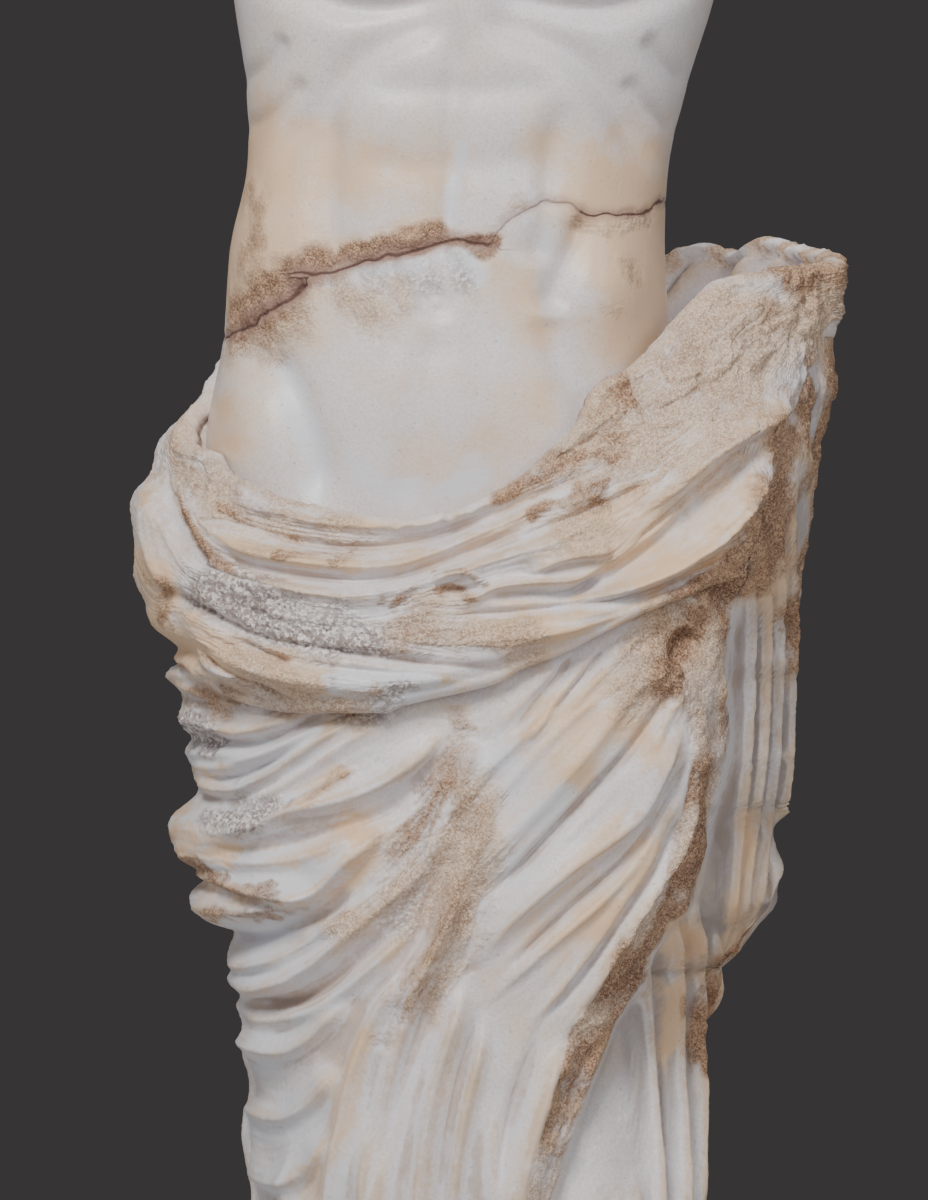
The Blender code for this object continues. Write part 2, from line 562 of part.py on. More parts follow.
def shoulder(bm, start, direction, length, radius):
    sections = [(-0.35, radius * 0.6, radius * 0.6), (-0.1, radius * 0.95, radius * 0.95),
                (0.2, radius, radius), (0.6, radius * 0.96, radius), (0.9, radius * 0.9, radius * 0.96),
                (1.0, radius * 0.8, radius * 0.86)]
    ring_mesh(SHARE * limb_rings(start, direction, length, sections), bm)


def statue_mesh():
    bm = bmesh.new()
    ring_mesh(SHARE * body_rings(), bm)
    ring_mesh(SHARE * cup_rings(), bm)
    ring_mesh(base_rings(), bm)
    for place in FEET:
        foot(bm, *place)
    for place in SHOULDERS:
        shoulder(bm, *place)
    bmesh.ops.recalc_face_normals(bm, faces=bm.faces)
    mesh = bpy.data.meshes.new("draped_figure")
    bm.to_mesh(mesh)
    bm.free()
    return mesh


def settled(statue):
    """The mesh that the object's modifiers give, as a mesh of its own."""
    graph = bpy.context.evaluated_depsgraph_get()
    mesh = bpy.data.meshes.new_from_object(statue.evaluated_get(graph))
    statue.modifiers.clear()
    return mesh


def cut_flat_below(mesh):
    bm = bmesh.new()
    bm.from_mesh(mesh)
    everything = bm.verts[:] + bm.edges[:] + bm.faces[:]
    bmesh.ops.bisect_plane(bm, geom=everything, plane_co=(0, 0, 0), plane_no=(0, 0, -1), clear_outer=True)
    bmesh.ops.holes_fill(bm, edges=[e for e in bm.edges if e.is_boundary])
    bmesh.ops.triangulate(bm, faces=bm.faces)
    bm.to_mesh(mesh)
    bm.free()


for item in list(bpy.data.objects):
    bpy.data.objects.remove(item, do_unlink=True)

statue = bpy.data.objects.new("draped_figure", statue_mesh())
bpy.context.scene.collection.objects.link(statue)

joined = statue.modifiers.new("one_block", "REMESH")
joined.mode = "VOXEL"
joined.voxel_size = VOXEL * MILLIMETRE
statue.data = settled(statue)

thinned = statue.modifiers.new("facets", "DECIMATE")
thinned.ratio = TRIANGLES / (2 * len(statue.data.polygons))
thinned.use_collapse_triangulate = True
statue.data = settled(statue)
cut_flat_below(statue.data)

marble = bpy.data.materials.new("weathered_marble")
marble.use_nodes = True
shader = marble.node_tree.nodes["Principled BSDF"]
shader.inputs["Base Color"].default_value = STONE
shader.inputs["Roughness"].default_value = STONE_ROUGHNESS
statue.data.materials.clear()
statue.data.materials.append(marble)
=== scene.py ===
import math

import bmesh
import bpy
import numpy as np
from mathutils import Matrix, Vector


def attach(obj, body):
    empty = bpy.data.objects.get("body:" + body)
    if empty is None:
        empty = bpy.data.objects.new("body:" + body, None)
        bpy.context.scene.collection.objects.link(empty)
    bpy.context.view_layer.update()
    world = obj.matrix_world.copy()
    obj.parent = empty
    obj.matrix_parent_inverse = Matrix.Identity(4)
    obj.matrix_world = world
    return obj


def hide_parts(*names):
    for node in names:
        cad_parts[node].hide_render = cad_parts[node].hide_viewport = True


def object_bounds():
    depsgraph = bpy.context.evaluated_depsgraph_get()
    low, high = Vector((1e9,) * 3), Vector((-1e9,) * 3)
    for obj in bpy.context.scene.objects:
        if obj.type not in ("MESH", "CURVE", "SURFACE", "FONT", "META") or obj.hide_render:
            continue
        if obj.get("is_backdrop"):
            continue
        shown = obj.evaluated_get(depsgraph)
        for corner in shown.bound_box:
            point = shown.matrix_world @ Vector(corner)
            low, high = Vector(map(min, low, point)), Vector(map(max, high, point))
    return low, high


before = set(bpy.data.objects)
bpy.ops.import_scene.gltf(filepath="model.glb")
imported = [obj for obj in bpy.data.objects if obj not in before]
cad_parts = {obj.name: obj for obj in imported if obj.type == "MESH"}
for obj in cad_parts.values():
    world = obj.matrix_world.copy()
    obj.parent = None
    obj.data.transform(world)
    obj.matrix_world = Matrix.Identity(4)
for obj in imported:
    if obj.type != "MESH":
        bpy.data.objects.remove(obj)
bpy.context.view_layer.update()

# The bare body
# The figure is carved in the round from one block of fine white marble. Its skin was rubbed
# smooth with abrasive stone. The neck and both arms end in old breaks, and an old break that
# runs round the belly is mended. All sizes here are millimetres, with the underside at zero.
MILLIMETRE = 0.001
NECK_TOP = 1650
BODY_FOOT = 1000
BODY_VOXEL = 3.05
BODY_SMOOTHING = 36
RING_STEP = 5.0
RING_POINTS = 180

# Height, half width at its right and at its left, depth in front and behind, sideways and
# backward shift of the section.
BODY = [
    (840, 150, 150, 100, 100, -6, 0), (1000, 168, 166, 112, 114, -8, 0),
    (1120, 158, 160, 112, 100, -6, 0), (1180, 150, 152, 109, 88, -3, 0),
    (1235, 148, 145, 108, 82, 0, 0), (1291, 142, 142, 108, 84, 5, 0),
    (1350, 148, 150, 113, 92, 10, 0), (1410, 160, 164, 118, 102, 14, 2),
    (1470, 168, 172, 116, 110, 18, 5), (1525, 172, 180, 100, 108, 22, 8),
    (1570, 150, 160, 82, 96, 24, 12), (1598, 92, 104, 70, 82, 25, 13),
    (1622, 66, 70, 64, 70, 25, 8), (1650, 60, 63, 62, 64, 26, 2), (1680, 60, 62, 62, 62, 26, -2),
]
BODY_SQUARENESS = 2.35
CREST_SHARPNESS = 1.35
FURROW_SHARPNESS = 1.8

# Where each arm ends: shoulder, direction, length of the stump and its radius; then the shape
# of a stump by shares of its length, width and thickness.
STUMPS = [((-126, 8, 1530), (-0.34, 0.02, -0.94), 92, 60),
          ((176, 10, 1532), (0.32, 0.04, -0.95), 84, 60)]
STUMP_SECTIONS = [(-0.35, 0.6, 0.6), (-0.1, 0.95, 0.95), (0.2, 1, 1), (0.6, 0.96, 1), (0.9, 0.92, 0.97),
                  (1.0, 0.86, 0.92)]

# Furrows and soft ridges of the muscles: height, reach, then points across the front.
MUSCLE_LINES = [
    (-5, 9, [(6, 1400), (2, 1330), (0, 1270), (-9, 1212)]),
    (-2.5, 12, [(-9, 1188), (-20, 1130), (-33, 1050)]),
    (-8, 15, [(-136, 1185), (-108, 1148), (-94, 1112), (-80, 1056)]),
    (-5.5, 13, [(-78, 1340), (-81, 1260), (-66, 1205)]),
    (-5.5, 12, [(74, 1340), (64, 1262), (56, 1222)]),
    (-7, 11, [(88, 1262), (84, 1240), (72, 1212), (66, 1190)]),
    (-4, 15, [(66, 1196), (76, 1160), (96, 1124)]),
    (-2, 12, [(-70, 1296), (0, 1290), (72, 1296)]),
    (-2.5, 10, [(-66, 1345), (8, 1340), (76, 1345)]),
    (-7, 13, [(-120, 1288), (-60, 1362), (10, 1392)]),
    (-7, 13, [(140, 1288), (86, 1362), (14, 1392)]),
    (-4, 6, [(-142, 1318), (-118, 1330), (-96, 1352)]),
    (-4, 6, [(-146, 1350), (-124, 1362), (-108, 1380)]),
    (-4, 6, [(156, 1318), (136, 1330), (116, 1352)]),
    (-4, 6, [(162, 1350), (144, 1362), (128, 1380)]),
    (-10, 10, [(-146, 1436), (-66, 1396), (12, 1408)]),
    (-10, 10, [(182, 1436), (102, 1396), (16, 1408)]),
    (-8, 11, [(16, 1560), (14, 1480), (13, 1410)]),
    (6, 8, [(-118, 1574), (-40, 1580), (14, 1562)]),
    (6, 8, [(164, 1574), (88, 1580), (28, 1562)]),
    (-6, 12, [(-118, 1556), (-112, 1500), (-132, 1452)]),
    (-6, 12, [(166, 1556), (158, 1500), (176, 1452)]),
]
BACK_LINES = [
    (-13, 14, [(24, 1560), (12, 1430), (8, 1300), (0, 1180)]),
    (10, 24, [(-86, 1536), (-62, 1470), (-90, 1400)]),
    (10, 24, [(136, 1536), (112, 1470), (140, 1400)]),
    (6, 26, [(-38, 1340), (-40, 1240), (-36, 1190)]),
    (6, 26, [(52, 1340), (46, 1240), (40, 1190)]),
]
# Swellings: sideways, up, half width, half height, how far they stand out.
MUSCLES = [
    (-14, 1140, 62, 60, 7), (-124, 1240, 28, 50, 7), (104, 1212, 27, 28, 9), (62, 1256, 24, 22, 6),
    (-64, 1448, 66, 44, 15), (98, 1448, 66, 44, 15), (-128, 1116, 30, 44, 8),
    (-36, 1318, 30, 20, 2), (42, 1318, 30, 20, 2),
]
NAVEL = (-9, 1200)
NIPPLES = [(-74, 1424), (108, 1424)]

# The mended break: width of the line, how dark it is, then points across the front, left to right.
CRACKS = [
    (1.5, 1.0, [(-150, 1180), (-140, 1184), (-128, 1191), (-116, 1199), (-107, 1202), (-98, 1212)]),
    (1.3, 1.0, [(-101, 1221), (-86, 1221), (-70, 1225), (-52, 1229), (-33, 1233), (-14, 1237), (3, 1242),
                (16, 1239), (27, 1238)]),
    (0.9, 0.5, [(27, 1238), (33, 1249), (42, 1257), (50, 1262), (63, 1268), (77, 1267), (85, 1262)]),
    (0.9, 0.75, [(85, 1262), (98, 1259), (112, 1260), (127, 1261), (137, 1267), (143, 1272)]),
]
BACK_CRACK = (0.9, 0.7, [(-152, 1181), (-90, 1200), (-30, 1228), (30, 1236), (90, 1262), (143, 1272)])

# Stains and wear of the skin, with painted highlights among the blue marks: kind, strength, reach, then
# points across the front.
STAINS = ("warm", "tan", "brown", "grey", "blue")
SKIN_PATCHES = [
    ("warm", 1.3, 42, [(-132, 1290), (-128, 1250), (-128, 1216)]),
    ("warm", 1.3, 40, [(112, 1266), (126, 1230), (130, 1190)]),
    ("warm", 0.7, 30, [(-60, 1296), (-20, 1284)]),
    ("warm", 0.3, 60, [(-30, 1170), (10, 1110)]),
    ("warm", 0.8, 18, [(94, 1232), (104, 1206)]),
    ("warm", 0.8, 24, [(70, 1300), (100, 1292), (128, 1300)]),
    ("warm", 0.85, 26, [(-104, 1306), (-80, 1290), (-52, 1286)]),
    ("warm", 0.6, 26, [(60, 1140), (20, 1100), (-20, 1084)]),
    ("warm", 0.8, 16, [(-146, 1130), (-140, 1108)]),
    ("warm", 0.7, 22, [(22, 1226), (44, 1214), (58, 1180)]),
    ("brown", 0.6, 8, [(-128, 1276), (-124, 1246), (-130, 1230)]),
    ("brown", 0.45, 6, [(112, 1228), (124, 1218)]),
    ("brown", 0.45, 6, [(92, 1204), (108, 1196)]),
    ("brown", 1.8, 13, [(-136, 1195), (-122, 1204), (-108, 1213), (-92, 1222)]),
    ("brown", 1.0, 9, [(-144, 1184), (-128, 1187), (-110, 1195)]),
    ("grey", 0.8, 11, [(-130, 1192), (-112, 1204), (-96, 1214)]),
    ("brown", 1.5, 6, [(-70, 1231), (-46, 1238), (-24, 1246), (-8, 1247)]),
    ("brown", 1.3, 3.6, [(-100, 1224), (-60, 1229), (-20, 1237), (12, 1241), (27, 1240)]),
    ("brown", 0.8, 4, [(8, 1238), (20, 1234), (28, 1240)]),
    ("brown", 0.5, 3, [(84, 1258), (106, 1256), (130, 1260)]),
    ("tan", 1.0, 13, [(-138, 1176), (-122, 1180), (-108, 1184), (-100, 1196)]),
    ("tan", 0.9, 8, [(-126, 1168), (-112, 1172)]),
    ("tan", 0.9, 5, [(-96, 1226), (-60, 1234), (-20, 1240)]),
    ("tan", 0.8, 14, [(-72, 1214), (-60, 1200), (-50, 1190)]),
    ("tan", 0.55, 9, [(-36, 1214), (-30, 1198)]),
    ("grey", 0.5, 12, [(-50, 1216), (-30, 1214), (-6, 1218)]),
    ("tan", 0.7, 4, [(84, 1255), (110, 1252), (134, 1256)]),
    ("tan", 0.5, 6, [(30, 1250), (46, 1264)]),
    ("blue", 1.0, 6, [(-90, 1213), (-76, 1214), (-64, 1217)]),
    ("blue", 0.9, 5, [(-58, 1220), (-38, 1224), (-20, 1228)]),
    ("blue", 0.9, 9, [(-4, 1230), (8, 1226), (20, 1220)]),
    # Painted highlight along the groove down the middle of the belly.
    ("blue", 0.7, 6, [(3, 1306), (2, 1252)]),
    # Painted light on the bright plane of the right hip.
    ("blue", 0.8, 13, [(-112, 1166), (-98, 1124), (-88, 1078)]),
    ("blue", 0.5, 14, [(64, 1240), (70, 1196)]),
    ("blue", 0.6, 16, [(-60, 1090), (-20, 1076), (20, 1092)]),
    ("grey", 0.5, 9, [(0, 1228), (12, 1214)]),
]


def ramp(low, high, t):
    """Smooth step from 0 at low to 1 at high."""
    s = np.clip((t - low) / (high - low), 0, 1)
    return s * s * (3 - 2 * s)


def slopes(x, y):
    """Slope at each key of a curve that must not overshoot its keys."""
    step = np.diff(x)
    rise = np.diff(y, axis=0) / (step if y.ndim == 1 else step[:, None])
    before, after = rise[:-1], rise[1:]
    same = before * after > 0
    slope = np.zeros_like(y)
    slope[1:-1] = np.where(same, 2 * before * after / np.where(same, before + after, 1), 0)
    slope[0], slope[-1] = rise[0], rise[-1]
    return slope


def through(keys, t):
    """Smooth curve through (place, value) keys, without overshoot."""
    x, y = np.array(keys, float).T
    slope = slopes(x, y)
    t = np.clip(t, x[0], x[-1])
    i = np.clip(np.searchsorted(x, t) - 1, 0, len(x) - 2)
    step = x[i + 1] - x[i]
    s = (t - x[i]) / step
    lower = (2 * s**3 - 3 * s**2 + 1) * y[i] + (s**3 - 2 * s**2 + s) * step * slope[i]
    upper = (3 * s**2 - 2 * s**3) * y[i + 1] + (s**3 - s**2) * step * slope[i + 1]
    return lower + upper


def drawn(points, steps=7):
    """A smooth line through a few points on the front."""
    p = np.array(points, float)
    p = np.vstack([2 * p[0] - p[1], p, 2 * p[-1] - p[-2]])
    t = np.linspace(0, 1, steps, endpoint=False)[:, None]
    parts = []
    for a, b, c, d in zip(p, p[1:], p[2:], p[3:]):
        parts.append(0.5 * (2 * b + (c - a) * t + (2 * a - 5 * b + 4 * c - d) * t**2
                            + (3 * b - a - 3 * c + d) * t**3))
    return np.vstack(parts + [p[-2:-1]])


def measure(x, z, line, reach):
    """Distance from the line, its side and the place along it, at points nearer than reach."""
    near = (x > line[:, 0].min() - reach) & (x < line[:, 0].max() + reach)
    near &= (z > line[:, 1].min() - reach) & (z < line[:, 1].max() + reach)
    px, pz = x[near], z[near]
    best = np.full(px.shape, 1e9)
    side = np.zeros(px.shape)
    along = np.zeros(px.shape)
    for i in range(len(line) - 1):
        dx, dz = line[i + 1] - line[i]
        s = np.clip(((px - line[i, 0]) * dx + (pz - line[i, 1]) * dz) / (dx * dx + dz * dz), 0, 1)
        ex, ez = px - line[i, 0] - s * dx, pz - line[i, 1] - s * dz
        away = ex * ex + ez * ez
        closer = away < best
        best = np.where(closer, away, best)
        side = np.where(closer, dx * ez - dz * ex, side)
        along = np.where(closer, (i + s) / (len(line) - 1), along)
    return near, np.sqrt(best), side, along


def fold(x, z, points, height, above, below, fade=0.2):
    """Height that one fold adds at points (x, z) of the front; ridges are sharper than furrows."""
    added = np.zeros(x.shape)
    near, away, side, along = measure(x, z, drawn(points), 3.2 * max(above, below))
    ends = ramp(0, fade, along) * (1 - ramp(1 - fade, 1, along))
    sharpness = CREST_SHARPNESS if height > 0 else FURROW_SHARPNESS
    added[near] = height * np.exp(-(away / np.where(side > 0, above, below))**sharpness) * ends
    return added


def ragged(points, reach, seed):
    """The front place of each point, shifted unevenly, so that stains get ragged borders."""
    shift = [(grain(points, size, seed + k) - 0.5) * 2 * share * reach
             for k, (size, share) in enumerate(((22, 1.0), (22, 1.0), (7, 0.45), (7, 0.45)))]
    return points[:, 0] + shift[0] + shift[2], points[:, 2] + shift[1] + shift[3]


def patch(x, z, points, reach):
    """How strongly a stain or a worn place shows at points (x, z) of the front."""
    strength = np.zeros(x.shape)
    near, away, _, _ = measure(x, z, drawn(points), 2.5 * reach)
    strength[near] = np.exp(-(away / reach)**2 * 0.9)
    return strength


def stained(patches, x, z, facing, patchy, spread, halo, halo_spread):
    """Each kind of stain, and the painted light of the blue marks, at points (x, z), with a warm halo round
    the crusts.
    """
    marks = {kind: np.zeros(x.shape) for kind in STAINS}
    for kind, strength, reach, line in patches:
        here = facing * strength * patchy * patch(x, z, line, spread * reach)
        marks[kind] = np.maximum(marks[kind], here)
        if kind in ("tan", "brown"):
            round_it = halo * facing * strength * patch(x, z, line, halo_spread * reach)
            marks["warm"] = np.maximum(marks["warm"], round_it)
    return marks


def grain(points, size, seed):
    """Smooth random values from 0 to 1 in space, with bumps of the given size."""
    lattice = np.random.default_rng(seed).random((32, 32, 32))
    place = points / size
    cell = np.floor(place).astype(int)
    f = place - cell
    f = f * f * (3 - 2 * f)
    total = np.zeros(len(points))
    for corner in range(8):
        pick = [(corner >> k) & 1 for k in range(3)]
        weight = np.prod([f[:, k] if pick[k] else 1 - f[:, k] for k in range(3)], axis=0)
        i, j, k = ((cell[:, n] + pick[n]) & 31 for n in range(3))
        total += weight * lattice[i, j, k]
    return total


def add_rings(bm, rings):
    """Adds a closed skin over a stack of rings, with a fan over each end."""
    verts = [[bm.verts.new(p) for p in ring] for ring in rings]
    around = len(verts[0])
    for lower, upper in zip(verts, verts[1:]):
        for j in range(around):
            k = (j + 1) % around
            bm.faces.new((lower[j], lower[k], upper[k], upper[j]))
    for ring, flip in ((verts[0], True), (verts[-1], False)):
        middle = bm.verts.new(sum((v.co for v in ring), Vector()) / around)
        for j in range(around):
            pair = (ring[j], ring[(j + 1) % around])
            bm.faces.new((middle, *(reversed(pair) if flip else pair)))


def limb(start, direction, length, sections, flat_below=None):
    """Rings along a straight limb; sections are (share of length, half width, half height)."""
    start, direction = np.array(start, float), np.array(direction, float)
    direction /= np.linalg.norm(direction)
    side = np.cross(direction, (0, 0, 1.0))
    side /= np.linalg.norm(side)
    up = np.cross(side, direction)
    turn = -np.linspace(0, 2 * math.pi, 48, endpoint=False)[:, None]
    rings = []
    for share, wide, tall in sections:
        ring = start + direction * length * share + side * wide * np.cos(turn) + up * tall * np.sin(turn)
        if flat_below is not None:
            ring[:, 2] = np.maximum(ring[:, 2], flat_below)
        rings.append(ring)
    return rings


def finished(name, vertices, faces, marks):
    """A piece from its points in millimetres, with its marks kept as vertex attributes."""
    mesh = bpy.data.meshes.new(name)
    mesh.from_pydata((vertices * MILLIMETRE).tolist(), [], faces)
    for mark, values in marks.items():
        layer = mesh.attributes.new(mark, "FLOAT", "POINT")
        layer.data.foreach_set("value", np.ascontiguousarray(values, np.float32))
    mesh.shade_smooth()
    piece = bpy.data.objects.new(name, mesh)
    bpy.context.scene.collection.objects.link(piece)
    return piece


def remeshed(bm, voxel, smoothing):
    """One closed skin round all the rings in bm, as points in millimetres and faces."""
    bmesh.ops.recalc_face_normals(bm, faces=bm.faces)
    rough = bpy.data.meshes.new("rough")
    bm.to_mesh(rough)
    bm.free()
    block = bpy.data.objects.new("rough", rough)
    bpy.context.scene.collection.objects.link(block)
    joined = block.modifiers.new("one_block", "REMESH")
    joined.mode = "VOXEL"
    joined.voxel_size = voxel
    rubbed = block.modifiers.new("rubbed", "SMOOTH")
    rubbed.iterations = smoothing
    rubbed.factor = 0.5
    graph = bpy.context.evaluated_depsgraph_get()
    mesh = bpy.data.meshes.new_from_object(block.evaluated_get(graph))
    count = len(mesh.vertices)
    points = np.zeros(count * 3)
    normals = np.zeros(count * 3)
    mesh.vertices.foreach_get("co", points)
    mesh.vertices.foreach_get("normal", normals)
    faces = [tuple(p.vertices) for p in mesh.polygons]
    bpy.data.objects.remove(block, do_unlink=True)
    return points.reshape(-1, 3), normals.reshape(-1, 3), faces


def body_section(angle, height):
    """Sideways and backward place of the skin round the body, before its muscles."""
    columns = np.array(BODY, float)
    right, left, front, behind, middle, back = (
        through(np.column_stack([columns[:, 0], columns[:, k]]), height) for k in range(1, 7))
    sine, cosine = np.sin(np.radians(angle)), np.cos(np.radians(angle))
    across = np.abs(sine) / np.where(sine < 0, right, left)
    deep = np.abs(cosine) / np.where(cosine > 0, front, behind)
    distance = (across**BODY_SQUARENESS + deep**BODY_SQUARENESS)**(-1 / BODY_SQUARENESS)
    return middle + distance * sine, back - distance * cosine


bm = bmesh.new()
angles = np.linspace(-180, 180, RING_POINTS, endpoint=False)
rings = []
for level in np.arange(BODY_FOOT, NECK_TOP + 1, RING_STEP):
    x, y = body_section(angles, np.full(angles.shape, level))
    tilt = ramp(1600, NECK_TOP, level) * (6 * np.sin(np.radians(angles) * 2) + 0.06 * (x - 26))
    rings.append(np.column_stack([x, y, level + tilt]))
add_rings(bm, rings)
for start, direction, length, radius in STUMPS:
    stump = [(share, wide * radius, tall * radius) for share, wide, tall in STUMP_SECTIONS]
    add_rings(bm, limb(start, direction, length, stump))
points, normals, faces = remeshed(bm, BODY_VOXEL, BODY_SMOOTHING)

x, y, z = points.T
facing = ramp(-0.15, 0.35, -normals[:, 1])
relief = np.zeros(len(points))
for height, reach, line in MUSCLE_LINES:
    relief += 1.25 * facing * fold(x, z, line, height, reach, reach)
for height, reach, line in BACK_LINES:
    relief += (1 - facing) * fold(x, z, line, height, reach, reach)
for across_at, up_at, wide, tall, swell in MUSCLES:
    relief += facing * swell * np.exp(-((x - across_at) / wide)**2 - ((z - up_at) / tall)**2)
from_navel = np.hypot(x - NAVEL[0], (z - NAVEL[1]) * 0.9)
relief += facing * (4.5 * np.exp(-(from_navel / 3.4)**2) - 5.5 * np.exp(-(from_navel / 8.5)**2))
for across_at, up_at in NIPPLES:
    relief += facing * 3 * np.exp(-np.hypot(x - across_at, z - up_at)**2 / 22)

patchy = 0.65 + 0.7 * grain(points, 14, 66)
skin_marks = stained(SKIN_PATCHES, *ragged(points, 5, 61), facing, patchy, 1.0, 0.55, 2.2)
closest = np.full(len(points), 99.0)
crack_width, crack_side, crack = np.ones(len(points)), np.ones(len(points)), np.zeros(len(points))
wobble = (grain(points, 7, 18) - 0.5) * 3.5
for width, dark, line in CRACKS + [BACK_CRACK]:
    near, away, side, along = measure(x, z + wobble, drawn(line), 30)
    behind = line is BACK_CRACK[2]
    hidden = facing[near] > 0.5 if behind else facing[near] < 0.5
    uneven = width * (0.6 + 0.8 * grain(points[near], 9, 17))
    closer = np.where(hidden, 99, away / uneven) < closest[near]
    here = np.flatnonzero(near)[closer]
    closest[here] = (away / uneven)[closer]
    crack_side[here] = np.sign(side[closer]) * np.minimum(closest[here] / 9, 1)
    crack[here], crack_width[here] = dark, uneven[closer]
crack *= np.exp(-(closest / 8)**2)
relief -= 2.4 * crack * crack_width * np.exp(-(closest * crack_width / 2.8)**2)
worn = np.maximum(skin_marks["tan"], skin_marks["brown"])
relief += worn * ((grain(points, 6, 3) - 0.7) * 4.5 + (grain(points, 16, 4) - 0.5) * 4)
broken_end = ramp(0.55, 0.85, normals[:, 2]) * ramp(NECK_TOP - 24, NECK_TOP - 8, z)
for start, direction, length, radius in STUMPS:
    direction = np.array(direction) / np.linalg.norm(direction)
    ahead = (points - np.array(start)) @ direction
    apart = np.linalg.norm(points - np.array(start) - ahead[:, None] * direction, axis=1)
    stump_end = ramp(length - 14, length - 4, ahead) * (apart < radius + 12) * (ahead < length + 15)
    broken_end = np.maximum(broken_end, stump_end * ramp(0.1, 0.4, normals @ direction))
relief += broken_end * ((grain(points, 26, 8) - 0.5) * 14 + (grain(points, 7, 5) - 0.5) * 6 - 2)
skin_marks["tan"] = np.maximum(skin_marks["tan"], broken_end)
skin_marks["brown"] = np.maximum(skin_marks["brown"], broken_end * 0.5)
skin_marks["crack"] = crack
skin_marks["crack_side"] = crack_side
skin_marks["ridge"] = np.clip(relief / 12, -1, 1) * 0.4
bare_body = finished("bare_body", points + normals * relief[:, None], faces, skin_marks)

# The stone is white marble with a fine grain. Time left a warm crust on the raised and broken
# places, the hollows stayed clean and bluish white, and earth stains sit in the break.
MARKS = ("Warm", "Tan", "Brown", "Grey", "Blue", "Ridge", "Streak", "Dust", "Crack", "Crack_side")


